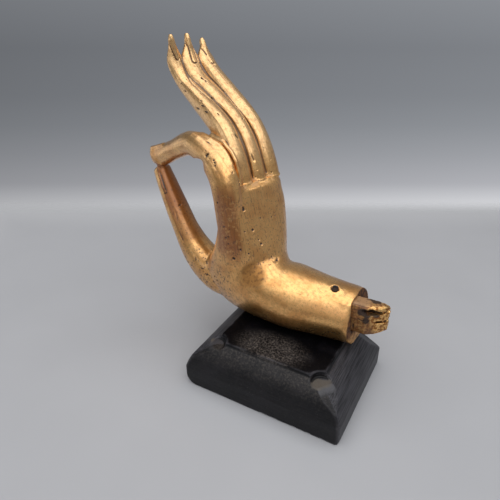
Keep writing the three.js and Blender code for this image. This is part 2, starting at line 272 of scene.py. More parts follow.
@dataclass
class Block:
    """A solid held as signed distances on a grid, negative inside, with the dirt on its surface."""

    distance: np.ndarray
    first: np.ndarray
    pitch: float
    axes: HandAxes | FrameAxes
    dirt: np.ndarray = field(init=False)

    def __post_init__(self) -> None:
        """Starts with a clean surface."""
        self.dirt = np.zeros_like(self.distance)

    @classmethod
    def from_node(cls, node: str, pitch: float, reach: int, axes: HandAxes | FrameAxes) -> "Block":
        """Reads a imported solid.

        Args:
            node: The solid's name in the frame.
            pitch: The grid's spacing.
            reach: How many steps the distances are known for on each side of the surface.
            axes: The axes in which the piece is carved.

        Returns:
            The solid as a block.
        """
        pitch, reach = pitch * COARSER, math.ceil(reach / COARSER)
        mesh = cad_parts[node].data
        corners = np.empty(len(mesh.vertices) * 3, np.float32)
        mesh.vertices.foreach_get("co", corners)
        mesh.calc_loop_triangles()
        triangles = np.empty(len(mesh.loop_triangles) * 3, np.int32)
        mesh.loop_triangles.foreach_get("vertices", triangles)
        level = openvdb.FloatGrid.createLevelSetFromPolygons(
            corners.reshape(-1, 3) / MM,
            triangles=triangles.reshape(-1, 3),
            transform=openvdb.createLinearTransform(voxelSize=pitch),
            halfWidth=reach,
        )
        low, high = level.evalActiveVoxelBoundingBox()
        distance = np.empty([h - l + 1 for l, h in zip(low, high)], np.float32)
        level.copyToArray(distance, ijk=low)
        return cls(distance, np.array(low), pitch, axes)

    def window(self, low: np.ndarray, high: np.ndarray) -> Part:
        """The part of the grid between two corners.

        Args:
            low: The lowest corner in the frame.
            high: The highest corner in the frame.

        Returns:
            A slice for each axis.
        """
        start = np.maximum(np.floor(low / self.pitch).astype(int) - self.first, 0)
        stop = np.ceil(high / self.pitch).astype(int) - self.first + 1
        return tuple(slice(int(a), int(max(b, a))) for a, b in zip(start, stop))

    def places(self, part: Part) -> Axes:
        """Coordinates of a part of the grid, in the block's axes.

        Args:
            part: The part of the grid.

        Returns:
            Three arrays that spread over the part.
        """
        rows = [
            (self.first[k] + np.arange(self.distance.shape[k])[part[k]]) * self.pitch
            for k in range(3)
        ]
        shapes = ((-1, 1, 1), (1, -1, 1), (1, 1, -1))
        x, y, z = (row.reshape(shape).astype(np.float32) for row, shape in zip(rows, shapes))
        return self.axes.place(x, y, z)

    def everywhere(self) -> Axes:
        """Coordinates of the whole grid, in the block's axes."""
        return self.places((slice(None), slice(None), slice(None)))

    def blurred(self, radius: float) -> np.ndarray:
        """The distances after a Gaussian blur.

        Args:
            radius: The blur's standard deviation in millimetres.

        Returns:
            The blurred distances.
        """
        sigma = radius / self.pitch
        half = max(1, round(2.5 * sigma))
        taps = np.exp(-0.5 * (np.arange(-half, half + 1) / sigma) ** 2)
        taps /= taps.sum()
        result = self.distance
        for axis in range(3):
            pad = [(half, half) if k == axis else (0, 0) for k in range(3)]
            padded = np.pad(result, pad, mode="edge")
            length = result.shape[axis]
            result = np.zeros_like(result)
            for i, tap in enumerate(taps.astype(np.float32)):
                part = tuple(slice(i, i + length) if k == axis else slice(None) for k in range(3))
                result += tap * padded[part]
        return result

    def noise(self, sizes: Triple, seed: int) -> np.ndarray:
        """Smooth random heights between about -1 and 1 over the grid.

        Args:
            sizes: The width of a bump along x, y and z.
            seed: The seed of the random heights.

        Returns:
            The heights.
        """
        steps = [self.pitch / size for size in sizes]
        starts = [1.0 + (self.first[k] * steps[k]) % 1.0 for k in range(3)]
        knots = [int(self.distance.shape[k] * steps[k]) + 5 for k in range(3)]
        coarse = np.random.default_rng(seed).uniform(-1.6, 1.6, knots).astype(np.float32)
        for axis in range(3):
            weights = spline_weights(self.distance.shape[axis], starts[axis], steps[axis], knots[axis])
            coarse = np.moveaxis(np.tensordot(weights, coarse, axes=(1, axis)), 0, axis)
        return coarse

    def measure(self, line: Line, beyond: float) -> tuple[Part, np.ndarray, np.ndarray]:
        """Measures from a line, in the part of the grid around it.

        Args:
            line: The line, in the block's axes.
            beyond: How far past its width it is measured.

        Returns:
            The part of the grid, how far each place is from the line, and the line's strength there.
        """
        weight = np.array(line.facing.value)
        world = np.array([self.axes.point(place) for place in line.path])
        margin = (line.width / 2 + beyond) / weight.min() + 1
        part = self.window(world.min(0) - margin, world.max(0) + margin)
        back, side, up = (w * axis for w, axis in zip(weight, self.places(part)))
        path = np.array(line.path) * weight
        spans = np.linalg.norm(np.diff(path, axis=0), axis=1)
        nearest = np.full(self.distance[part].shape, np.inf, np.float32)
        gone = np.zeros_like(nearest)
        before = 0.0
        for start, stop, span in zip(path, path[1:], spans):
            run = (stop - start) / max(span, 1e-6)
            along = (back - start[0]) * run[0] + (side - start[1]) * run[1] + (up - start[2]) * run[2]
            along = np.clip(along, 0, span)
            away = (back - start[0] - along * run[0]) ** 2
            away = away + (side - start[1] - along * run[1]) ** 2
            away = away + (up - start[2] - along * run[2]) ** 2
            closer = away < nearest
            nearest = np.where(closer, away, nearest)
            gone = np.where(closer, before + along, gone)
            before += span
        strength = np.ones_like(nearest)
        if line.tapered:
            strength = np.clip(TAPERS * np.minimum(gone, before - gone) / before, THINNEST, 1)
        return part, np.sqrt(nearest), strength

    def carve(self, line: Line) -> None:
        """Cuts a line into the surface or raises it, and leaves dirt in it.

        Args:
            line: The line, in the block's axes.
        """
        part, away, strength = self.measure(line, 0)
        if away.size == 0:
            return
        share = np.clip(1 - away / (line.width / 2), 0, 1)
        if line.section is Section.GOUGE:
            share = smooth_step(0.0, 1.0, share)
        elif line.section is Section.PLATE:
            share = smooth_step(0.0, PLATE_EDGE, share)
        share = share * strength
        self.distance[part] += line.depth * share
        if line.depth > 0:
            self.dirt[part] = np.maximum(self.dirt[part], line.dirt * share)

    def carve_all(self, lines: tuple[Line, ...], pits: tuple[Pit, ...] = ()) -> None:
        """Cuts lines into the surface, and pits after them.

        Args:
            lines: The lines, in the block's axes.
            pits: The pits, in the block's axes.
        """
        for line in lines:
            self.carve(line)
        for pit in pits:
            self.bore(pit)

    def fill(self, line: Line, blend: float) -> None:
        """Adds a round bar along a line, and fills the corners beside it."""
        part, away, _ = self.measure(replace(line, facing=Facing.ALL), 2 * blend)
        self.distance[part] = soft_least(self.distance[part], away - line.width / 2, blend)

    def hollow_out(self, line: Line, blend: float) -> None:
        """Takes away a round bar along a line, and rounds the edges beside it."""
        part, away, _ = self.measure(replace(line, facing=Facing.ALL), 2 * blend)
        self.distance[part] = -soft_least(-self.distance[part], away - line.width / 2, blend)

    def chip(self, size: float, depth: float, seed: int,
             where: Callable[[np.ndarray], Any] = lambda x: 1.0) -> None:
        """Knocks chips off the arrises.

        Args:
            size: The width of a chip.
            depth: How deep a chip goes.
            seed: The seed of the chips.
            where: The share of chips at each place along x.
        """
        arris = self.blurred(ARRIS) - self.distance
        along = ((self.first[0] + np.arange(self.distance.shape[0])) * self.pitch).reshape(-1, 1, 1)
        chips = region((self.noise((size, size, size), seed), 0.1, 0.8), (arris, 0.35, 0.8))
        self.distance += (depth * chips * where(along)).astype(np.float32)

    def bore(self, pit: Pit) -> None:
        """Sinks a pit into the surface.

        Args:
            pit: The pit, in the block's axes.
        """
        weight = pit.facing.value
        middle = self.axes.point(pit.place)
        margin = pit.size / min(weight) + 1
        part = self.window(middle - margin, middle + margin)
        away = sum((w * (axis - at)) ** 2 for w, axis, at in zip(weight, self.places(part), pit.place))
        share = np.clip(1 - away / (PIT_RADIUS * pit.size) ** 2, 0, 1)
        self.distance[part] += PIT_DEPTH * pit.size * share
        self.dirt[part] = np.maximum(self.dirt[part], np.clip(PIT_DIRT * share, 0, 1))

    def sampled(self, values: np.ndarray, points: np.ndarray) -> np.ndarray:
        """Reads a grid of values at points, in straight lines between the grid's places.

        Args:
            values: The grid of values.
            points: Places in the frame, one a row.

        Returns:
            A value for each point.
        """
        places = np.clip(points / self.pitch - self.first, 0, np.array(values.shape) - 1.001)
        whole = places.astype(int)
        part = places - whole
        total = np.zeros(len(points), np.float32)
        for corner in range(8):
            step = np.array([corner & 1, corner >> 1 & 1, corner >> 2 & 1])
            share = np.where(step, part, 1 - part).prod(1)
            i, j, k = (whole + step).T
            total += share.astype(np.float32) * values[i, j, k]
        return total

    def skinned(self, name: str, faces: int) -> tuple[bpy.types.Object, np.ndarray]:
        """Makes the block's surface as a mesh.

        Args:
            name: The new piece's name.
            faces: About how many triangles the mesh may have.

        Returns:
            The piece, and its vertices in millimetres.
        """
        band = 3 * self.pitch
        level = openvdb.FloatGrid(band)
        level.transform = openvdb.createLinearTransform(voxelSize=self.pitch)
        level.copyFromArray(np.clip(self.distance, -band, band), ijk=tuple(int(i) for i in self.first))
        points, quads = level.convertToQuads(0.0)
        low, high = (np.array(corner) / MM for corner in CAD_BOX)
        points = np.clip(points, low, high)
        mesh = bpy.data.meshes.new(name)
        mesh.vertices.add(len(points))
        mesh.vertices.foreach_set("co", (points * MM).astype(np.float32).ravel())
        mesh.loops.add(quads.size)
        mesh.loops.foreach_set("vertex_index", quads[:, ::-1].astype(np.int32).ravel())
        mesh.polygons.add(len(quads))
        mesh.polygons.foreach_set("loop_start", np.arange(0, quads.size, 4, dtype=np.int32))
        mesh.update(calc_edges=True)
        mesh.validate()
        piece = add_object(name, mesh)
        if 2 * len(quads) > faces:
            thinner = piece.modifiers.new("thinner", "DECIMATE")
            thinner.ratio = faces / (2 * len(quads))
            graph = bpy.context.evaluated_depsgraph_get()
            piece.data = bpy.data.meshes.new_from_object(piece.evaluated_get(graph))
            piece.modifiers.clear()
            bpy.data.meshes.remove(mesh)
            piece.data.name = name
        piece.data.shade_smooth()
        corners = np.empty(len(piece.data.vertices) * 3, np.float32)
        piece.data.vertices.foreach_get("co", corners)
        return piece, corners.reshape(-1, 3) / MM


def give_mask(piece: bpy.types.Object, name: str, values: np.ndarray) -> None:
    """Stores a share from 0 to 1 for each vertex, for the materials to read."""
    mask = piece.data.attributes.new(name, "FLOAT", "POINT")
    mask.data.foreach_set("value", np.clip(values, 0, 1).astype(np.float32))


def give_relief(piece: bpy.types.Object, block: Block, points: np.ndarray, radius: float) -> None:
    """Stores where the surface stands out, where it is hollow and painted dark as shade, and where it is
    dirty.

    Args:
        piece: The piece.
        block: The block that the piece was skinned from.
        points: The piece's vertices in millimetres.
        radius: The size of the forms that count.
    """
    relief = block.sampled(block.blurred(radius) - block.distance, points) / radius
    dirt = block.sampled(block.dirt, points)
    give_mask(piece, "worn", smooth_step(*WORN, relief))
    # Hollows are painted dark as shade, together with the dirt in carved lines and pits.
    give_mask(piece, "hollow_shade_and_dirt", np.maximum(smooth_step(*HOLLOW_SHADE, relief), dirt))
    give_mask(piece, "dirt", dirt)


class Kind(Enum):
    """The shader nodes that the finishes are made of."""

    PLACE = "ShaderNodeTexCoord"
    MASK = "ShaderNodeAttribute"
    VECTOR = "ShaderNodeVectorMath"
    SPLIT = "ShaderNodeSeparateXYZ"
    NOISE = "ShaderNodeTexNoise"
    RANGE = "ShaderNodeMapRange"
    RAMP = "ShaderNodeValToRGB"
    MIX = "ShaderNodeMix"
    SUM = "ShaderNodeMath"
    BUMP = "ShaderNodeBump"
    SURFACE = "ShaderNodeBsdfPrincipled"
    CLEAR = "ShaderNodeBsdfTransparent"
    BLEND = "ShaderNodeMixShader"
    RAY = "ShaderNodeLightPath"
    GLOW = "ShaderNodeBackground"
    OUTPUT = "ShaderNodeOutputMaterial"
    WORLD = "ShaderNodeOutputWorld"


def add_node(tree: bpy.types.NodeTree, kind: Kind, inputs: dict[Any, Any] | None = None,
             output: str | int = 0, **settings: Any) -> Any:
    """Adds a node with its settings, and links or fills its inputs.

    Args:
        tree: The material's or world's node tree.
        kind: The kind of node.
        inputs: A socket to link or a value to set, for each input's name or number.
        output: The output to hand back.
        **settings: The node's own settings.

    Returns:
        The chosen output, or None where the node has none.
    """
    node = tree.nodes.new(kind.value)
    for name, value in settings.items():
        setattr(node, name, value)
    for key, value in (inputs or {}).items():
        if isinstance(value, bpy.types.NodeSocket):
            tree.links.new(value, node.inputs[key])
        else:
            node.inputs[key].default_value = value
    return node.outputs[output] if node.outputs else None


def new_material(name: str) -> bpy.types.Material:
    """Makes a material without nodes.

    Args:
        name: The material's name.

    Returns:
        The empty material.
    """
    material = bpy.data.materials.new(name)
    material.use_nodes = True
    material.node_tree.nodes.clear()
    return material


@dataclass(frozen=True)
class Pattern:
    """Noise in a finish: its size in millimetres, and how many sizes long its bumps are.

    A pattern along the grain reads the coordinates that each mesh stores for its own wood.
    """

    name: str
    size: float
    length: float = 1.0
    detail: float = 2.0
    rough: float = 0.5
    along_grain: bool = False


@dataclass(frozen=True)
class Coat:
    """A substance that lies over those before it, where a pattern or a mask passes its limits."""

    colour: str
    metal: float
    rough: float
    pattern: str = ""
    low: float = 0.0
    high: float = 1.0
    most: float = 1.0
    within: str = ""


@dataclass(frozen=True)
class Finish:
    """A finish: its patterns, its coats from the lowest up, and the depth of each pattern's relief.

    The wax is the weight of a clear coat, which is missing where the unwaxed mask is 1. Dust takes
    most of the shine where the dulled mask is 1.
    """

    name: str
    patterns: tuple[Pattern, ...]
    coats: tuple[Coat, ...]
    relief: tuple[tuple[str, float], ...]
    specular: float = 0.5
    ior: float = 1.5
    wax: float = 0.0
    wax_rough: float = 0.25
    unwaxed: str = ""
    dulled: str = ""
    dust_shine: float = 0.2

    def material(self) -> bpy.types.Material:
        """Makes the finish's material.

        Returns:
            The material, which reads the masks stored in the meshes.
        """
        material = new_material(self.name)
        tree = material.node_tree
        sources = self.lay_patterns(tree)
        colour, metal, rough = self.lay_coats(tree, sources)
        inputs = {"Base Color": colour, "Metallic": metal, "Roughness": rough}
        for name, depth in self.relief:
            bump = {"Height": sources[name], "Strength": 1.0, "Distance": depth * MM}
            if "Normal" in inputs:
                bump["Normal"] = inputs["Normal"]
            inputs["Normal"] = add_node(tree, Kind.BUMP, bump)
        inputs |= {"IOR": self.ior, "Specular IOR Level": self.specular}
        inputs |= {"Coat Weight": self.wax, "Coat Roughness": self.wax_rough}
        if self.unwaxed:
            bare = {"Value": sources[self.unwaxed], "To Min": self.wax, "To Max": 0.0}
            inputs["Coat Weight"] = add_node(tree, Kind.RANGE, bare)
        if self.dulled:
            low = self.dust_shine * self.specular
            dust = {"Value": sources[self.dulled], "To Min": self.specular, "To Max": low}
            inputs["Specular IOR Level"] = add_node(tree, Kind.RANGE, dust)
        shader = add_node(tree, Kind.SURFACE, inputs)
        add_node(tree, Kind.OUTPUT, {"Surface": shader})
        return material

    def lay_patterns(self, tree: bpy.types.NodeTree) -> dict[str, Any]:
        """Adds the patterns and masks.

        Args:
            tree: The material's node tree.

        Returns:
            The output of each pattern and mask, by name.
        """
        place = add_node(tree, Kind.PLACE, output="Object")
        place = add_node(tree, Kind.VECTOR, {0: place, "Scale": 1 / MM}, operation="SCALE")
        grain = add_node(tree, Kind.MASK, output="Vector", attribute_name="grain")
        sources = {}
        for pattern in self.patterns:
            vector = grain if pattern.along_grain else place
            if pattern.length != 1:
                factors = (1.0, 1.0, 1 / pattern.length)
                vector = add_node(tree, Kind.VECTOR, {0: vector, 1: factors}, operation="MULTIPLY")
            inputs = {"Vector": vector, "Scale": 1 / pattern.size, "Detail": pattern.detail,
                      "Roughness": pattern.rough}
            sources[pattern.name] = add_node(tree, Kind.NOISE, inputs)
        names = [name for coat in self.coats for name in (coat.pattern, coat.within)]
        for name in [*names, self.unwaxed, self.dulled]:
            if name and name not in sources:
                sources[name] = add_node(tree, Kind.MASK, output="Fac", attribute_name=name)
        return sources

    def lay_coats(self, tree: bpy.types.NodeTree, sources: dict[str, Any]) -> tuple[Any, Any, Any]:
        """Lays the coats over one another.

        Args:
            tree: The material's node tree.
            sources: The patterns and masks, by name.

        Returns:
            The colour, metallic share and roughness, each a socket, or a number where all agree.
        """
        base = self.coats[0]
        colour, metal, rough = linear(base.colour), base.metal, base.rough
        for coat in self.coats[1:]:
            falls = coat.low > coat.high
            share = add_node(tree, Kind.RANGE, {
                "Value": sources[coat.pattern],
                "From Min": min(coat.low, coat.high),
                "From Max": max(coat.low, coat.high),
                "To Min": coat.most if falls else 0.0,
                "To Max": 0.0 if falls else coat.most,
            }, interpolation_type="SMOOTHSTEP")
            if coat.within:
                share = add_node(tree, Kind.SUM, {0: share, 1: sources[coat.within]}, operation="MULTIPLY")
            colour = add_node(tree, Kind.MIX, {0: share, 6: colour, 7: linear(coat.colour)}, 2,
                              data_type="RGBA")
            if metal != coat.metal:
                metal = add_node(tree, Kind.MIX, {0: share, 2: metal, 3: coat.metal})
            if rough != coat.rough:
                rough = add_node(tree, Kind.MIX, {0: share, 2: rough, 3: coat.rough})
        return colour, metal, rough


# Gold leaf on red-brown lacquer over carved wood, rubbed for many years. The leaf is a metal whose
# sheen is soft, so the eye gets broad pale lights that fall off to tan and olive brown. The lacquer
# shows as dark streaks along the wood and as specks. Light and shade are painted in too: the fingers
# paler as a highlight, the underside paler as if lit, and the hollows, the thumb's inner side, the
# palm's edge and the bend of the wrist darker as shade. Wax lies over it, but not on the sawn end,
# the filler and the dark spot of dirt and painted shade in the bend of the wrist. Brush marks and
# cracks of 0.2 to 0.4 mm would be too fine to show, so the streaks are drawn 1.7 mm wide and the
# threads 0.9 mm. Clouds and blots are as wide as the rubbed and stained patches.
GOLD_LEAF_ON_LACQUER = Finish(
    name="gold_leaf_on_lacquer",
    patterns=(
        Pattern("clouds", 12.0, detail=4.0),
        Pattern("blots", 3.2, detail=3.0, rough=0.6),
        Pattern("speckle", 2.3, detail=2.0, rough=0.6),
        Pattern("grit", 0.55, detail=2.0),
        Pattern("streaks", 1.7, 9.0, 3.0, 0.6, True),
        Pattern("threads", 0.9, 26.0, 3.0, 0.6, True),
    ),
    coats=(
        Coat("#fbc277", 0.96, 0.27),
        Coat("#dc9a51", 0.96, 0.32, "clouds", 0.42, 0.68, 0.75),
        # Painted highlight: the fingers are painted paler towards their tops.
        Coat("#f0c78e", 0.94, 0.35, "painted_light", 0.0, 1.0, 0.75),
        Coat("#bd8649", 0.9, 0.38, "streaks", 0.5, 0.7, 0.5),
        Coat("#b88348", 0.9, 0.42, "blots", 0.48, 0.64, 0.4),
        Coat("#d59d60", 0.85, 0.38, "dusky", 0.0, 1.0, 0.6),
        # Painted shade: the thumb's inner side and the palm's edge under the forefinger are painted brown.
        Coat("#9a5a28", 0.7, 0.45, "painted_shade", 0.0, 1.0, 0.9),
        Coat("#f4c47c", 0.92, 0.32, "blots", 0.5, 0.64, 0.7, "dusky"),
        # Dirt and painted shade in the bend of the wrist.
        Coat("#a5743e", 0.8, 0.42, "soiled_and_shaded", 0.0, 1.0, 0.85),
        Coat("#5e3c1c", 0.5, 0.5, "blots", 0.46, 0.64, 0.5, "soiled_and_shaded"),
        Coat("#6b4122", 0.4, 0.5, "threads", 0.54, 0.7, 0.7, "aged"),
        # Painted light: surfaces facing down are painted a pale, rough gold, as if lit from below.
        Coat("#f2bd7c", 0.95, 0.8, "painted_lit_underside", 0.0, 1.0, 1.0),
        # Painted shade: the hollows and the dirty carved lines are painted dark brown.
        Coat("#4c2d18", 0.15, 0.65, "hollow_shade_and_dirt", 0.12, 0.8, 0.85),
        Coat("#7a4d26", 0.5, 0.55, "grit", 0.6, 0.72, 0.5),
        Coat("#40260f", 0.1, 0.7, "speckle", 0.585, 0.65, 0.95, "pitted"),
        Coat("#e0b27e", 0.2, 0.7, "filler", 0.0, 1.0, 0.85),
        Coat("#7a4e2b", 0.0, 0.85, "sawn", 0.0, 1.0, 1.0),
        Coat("#2a180c", 0.0, 0.85, "blots", 0.42, 0.58, 0.85, "sawn"),
        Coat("#190e08", 0.0, 0.85, "dirt", 0.3, 0.85, 1.0),
    ),
    relief=(("streaks", 0.06), ("speckle", 0.05), ("grit", 0.03)),
    wax=0.8,
    unwaxed="bare",
)

# Black lacquer brushed on wood and rubbed to a satin, with years of dust and knocks. It isn't a
# metal and is nearly black, so its shape is read from broad weak reflections. Grey dust lies in
# streaks along each side; on the ends there is more of it, which also stands in for their sheen as
# painted light. The pared facets are painted a paler grey as their sheen, the hollows blacker as
# shade, and pale filler shows in the gouged notches. Brush marks of 0.3 mm would be too fine to show,
# so the streaks are drawn 1 mm wide, and so are the specks of dust.
BLACK_LACQUER = Finish(
    name="black_lacquer",
    patterns=(
        Pattern("clouds", 15.0, detail=4.0),
        Pattern("blots", 3.5, detail=4.0, rough=0.65),
        Pattern("speckle", 1.1, detail=2.0),
        Pattern("dust", 1.8, detail=6.0, rough=0.75),
        Pattern("streaks", 1.0, 24.0, 3.0, 0.6, True),
    ),
    coats=(
        Coat("#08080b", 0.0, 0.44),
        Coat("#151418", 0.0, 0.5, "clouds", 0.44, 0.72, 0.8),
        # Dust, and on the ends a painted sheen of grey.
        Coat("#57565c", 0.0, 0.5, "streaks", 0.2, 0.8, 0.8, "dust_and_painted_light"),
        Coat("#423e3c", 0.0, 0.6, "clouds", 0.3, 0.7, 0.6, "scuffed"),
        Coat("#7a716a", 0.0, 0.6, "dust", 0.44, 0.68, 0.75, "scuffed"),
        Coat("#4c4a4b", 0.0, 0.6, "speckle", 0.67, 0.75, 0.5),
        # Painted sheen: the pared facets are painted a paler grey.
        Coat("#5c5c60", 0.0, 0.34, "pared", 0.0, 1.0, 0.7),
        Coat("#625b53", 0.0, 0.6, "filler", 0.0, 1.0, 0.8),
        Coat("#67656a", 0.0, 0.45, "clouds", 0.36, 0.66, 0.4, "worn"),
        # Painted shade: the hollows and the dirty carved lines are painted blacker.
        Coat("#070608", 0.0, 0.5, "hollow_shade_and_dirt", 0.15, 0.8, 0.9),
    ),
    relief=(("streaks", 0.03), ("clouds", 0.35)),
    specular=0.24,
    dulled="flat_top",
)

# Red-brown wood, carved, oiled and handled. The eye gets grain along the block with a low sheen,
# flakes of gold on the rolls, and charred patches that are almost black. The clefts are painted almost
# black with dirt and painted shade. Pores of 0.2 mm would be too fine to show, so the grain's lines are
# drawn 1.1 mm wide. The flakes are 2 mm wide.
OILED_REDWOOD = Finish(
    name="oiled_redwood",
    patterns=(
        Pattern("grain_lines", 1.1, 12.0, 4.0, 0.6, True),
        Pattern("blots", 2.8, detail=3.0, rough=0.6),
        Pattern("flakes", 2.2, detail=2.0, rough=0.5),
        Pattern("speckle", 1.2, detail=3.0, rough=0.6),
    ),
    coats=(
        Coat("#8a5a33", 0.1, 0.45),
        Coat("#452712", 0.05, 0.55, "grain_lines", 0.4, 0.64, 0.85),
        Coat("#a2713f", 0.4, 0.45, "blots", 0.52, 0.66, 0.7),
        Coat("#b58c62", 0.1, 0.5, "topped", 0.0, 1.0, 0.8),
        Coat("#a0662f", 0.75, 0.36, "flaked", 0.0, 1.0, 0.9),
        Coat("#f3c27c", 0.92, 0.28, "flakes", 0.42, 0.56, 0.95, "flaked"),
        Coat("#3b2210", 0.2, 0.5, "speckle", 0.6, 0.68, 0.8),
        Coat("#231610", 0.0, 0.6, "charred", 0.2, 0.9, 0.9),
        Coat("#4b4140", 0.0, 0.4, "blots", 0.5, 0.7, 0.6, "charred"),
        # Painted shade: the hollows and the dirty clefts are painted dark brown.
        Coat("#2c1a10", 0.0, 0.7, "hollow_shade_and_dirt", 0.1, 0.6, 0.9),
        Coat("#0f0806", 0.0, 0.8, "dirt", 0.2, 0.7, 1.0),
    ),
    relief=(("grain_lines", 0.15), ("speckle", 0.15), ("flakes", 0.35)),
)

# A bamboo peg cut across and dark with oil and dust, so its end is matt with the dots of its
# bundles of fibres, which are 0.6 mm wide.
BAMBOO_END_GRAIN = Finish(
    name="bamboo_end_grain",
    patterns=(Pattern("fibres", 0.6, detail=1.0), Pattern("clouds", 3.0, detail=3.0)),
    coats=(
        Coat("#2c1b11", 0.0, 0.75),
        Coat("#4d3420", 0.0, 0.75, "fibres", 0.5, 0.64, 0.8),
        Coat("#170e09", 0.0, 0.75, "clouds", 0.4, 0.65, 0.8),
    ),
    relief=(("fibres", 0.1),),
)

# Steel turned on a lathe. It is a metal with fine tool marks and a soft grey gleam.
TURNED_STEEL = Finish(
    name="turned_steel",
    patterns=(Pattern("marks", 0.35, 0.02, 1.0), Pattern("clouds", 5.0)),
    coats=(
        Coat("#a5a8ab", 1.0, 0.3),
        Coat("#74777a", 1.0, 0.42, "marks", 0.35, 0.65, 0.7),
        Coat("#8b8377", 1.0, 0.5, "clouds", 0.5, 0.7, 0.5),
    ),
    relief=(("marks", 0.02),),
)


@dataclass(frozen=True)
class PaintedTable:
    """A table top painted pale grey with a roller, matt, whose rim is painted paler as a glow of light and
    dissolves into the backdrop.
    """

    grey: str = "#c3c4c8"
    darker: str = "#bbbcc0"
    rim_glow: str = "#cccdd0"
    half_depth: float = 392.0
    half_width: float = 480.0
    # The widths of the roller's stipple and of the clouds in the paint.
    stipple: float = 3.0
    clouds: float = 90.0
    # Where the rim's paler grey, a painted glow of light, starts and is full, and where the table starts to
    # fade, out of 1.
    rim_from: float = 0.7
    rim_to: float = 0.92
    fade_from: float = 0.865

    def material(self) -> bpy.types.Material:
        """Makes the table's material.

        Returns:
            The material.
        """
        material = new_material("roller_painted_table")
        tree = material.node_tree
        place = add_node(tree, Kind.PLACE, output="Object")
        place = add_node(tree, Kind.VECTOR, {0: place, "Scale": 1 / MM}, operation="SCALE")
        stipple = add_node(tree, Kind.NOISE, {"Vector": place, "Scale": 1 / self.stipple, "Detail": 3.0})
        clouds = add_node(tree, Kind.NOISE, {"Vector": place, "Scale": 1 / self.clouds, "Detail": 2.0})
        colour = add_node(tree, Kind.MIX, {0: clouds, 6: linear(self.grey), 7: linear(self.darker)}, 2,
                          data_type="RGBA")
        halves = (1 / self.half_width, 1 / self.half_depth, 0.0)
        off = add_node(tree, Kind.VECTOR, {0: place, 1: halves}, operation="MULTIPLY")
        off = add_node(tree, Kind.VECTOR, {0: off}, operation="ABSOLUTE")
        split = add_node(tree, Kind.SPLIT, {0: off})
        far = add_node(tree, Kind.SUM, {0: split, 1: split.node.outputs["Y"]}, operation="MAXIMUM")
        limits = {"Value": far, "From Min": self.rim_from, "From Max": self.rim_to}
        # Painted light: towards the rim the grey is painted paler, as a glow.
        painted_light = add_node(tree, Kind.RANGE, limits, interpolation_type="SMOOTHSTEP")
        colour = add_node(tree, Kind.MIX, {0: painted_light, 6: colour, 7: linear(self.rim_glow)}, 2, data_type="RGBA")
        normal = add_node(tree, Kind.BUMP, {"Height": stipple, "Strength": 1.0, "Distance": 0.02 * MM})
        paint = add_node(tree, Kind.SURFACE, {"Base Color": colour, "Roughness": 0.8, "Normal": normal})
        limits = {"Value": far, "From Min": self.fade_from}
        fade = add_node(tree, Kind.RANGE, limits, interpolation_type="SMOOTHSTEP")
        both = add_node(tree, Kind.BLEND, {0: fade, 1: paint, 2: add_node(tree, Kind.CLEAR)})
        add_node(tree, Kind.OUTPUT, {"Surface": both})
        return material


def dress(piece: bpy.types.Object, finish: bpy.types.Material, node: str) -> None:
    """Gives a piece its material and its body, and hides the node that it stands for.

    Args:
        piece: The piece.
        finish: The material.
        node: The node that it replaces.
    """
    piece.data.materials.clear()
    piece.data.materials.append(finish)
    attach(piece, "root")
    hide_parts(node)
    LOG.info("%s: %d faces, %s", piece.name, len(piece.data.polygons), finish.name)


@dataclass(frozen=True)
class Limb:
    """The middle line of a limb, as back and up, along which its wood's grain is drawn."""

    path: tuple[tuple[float, float], ...]

    def follow(self, back: np.ndarray, up: np.ndarray) -> tuple[np.ndarray, np.ndarray, np.ndarray]:
        """Finds how far away from the limb and how far along it places are.

        Args:
            back: The places' first coordinate.
            up: The places' last coordinate.

        Returns:
            How far away they are, on which side they are and how far, and how far along.
        """
        best = np.full(len(back), np.inf, np.float32)
        across, along = np.zeros_like(best), np.zeros_like(best)
        before = 0.0
        for (b0, u0), (b1, u1) in zip(self.path, self.path[1:]):
            span = math.hypot(b1 - b0, u1 - u0)
            run_b, run_u = (b1 - b0) / span, (u1 - u0) / span
            t = np.clip((back - b0) * run_b + (up - u0) * run_u, 0, span)
            away_b, away_u = back - b0 - t * run_b, up - u0 - t * run_u
            away = np.hypot(away_b, away_u)
            closer = away < best
            best = np.where(closer, away, best)
            across = np.where(closer, away_b * run_u - away_u * run_b, across)
            along = np.where(closer, before + t, along)
            before += span
        return best, across, along


def give_grain(piece: bpy.types.Object, coordinates: np.ndarray) -> None:
    """Stores three coordinates in millimetres for each vertex, the last one along the grain."""
    grain = piece.data.attributes.new("grain", "FLOAT_VECTOR", "POINT")
    grain.data.foreach_set("vector", coordinates.astype(np.float32).ravel())


# The lines, bars and pits of the hand are given as back, side and up, measured from the wrist.
FINGER_FILLS = (
    # The thin edge of the middle finger, which stands up beside the forefinger.
    Line(((-58, -14.5, 149.2), (-50, -14.5, 148.9), (-42.1, -14.5, 148.1), (-32.8, -14.5, 143.4),
          (-26.8, -14.5, 136.8), (-23.8, -14.5, 129), (-22.4, -14.5, 118.2)), 2.8, 0),
    Line(((-60, -13, 149), (-46, -13, 145), (-36, -13, 140), (-30, -13, 133), (-26, -13, 122)), 6.0, 0),
)

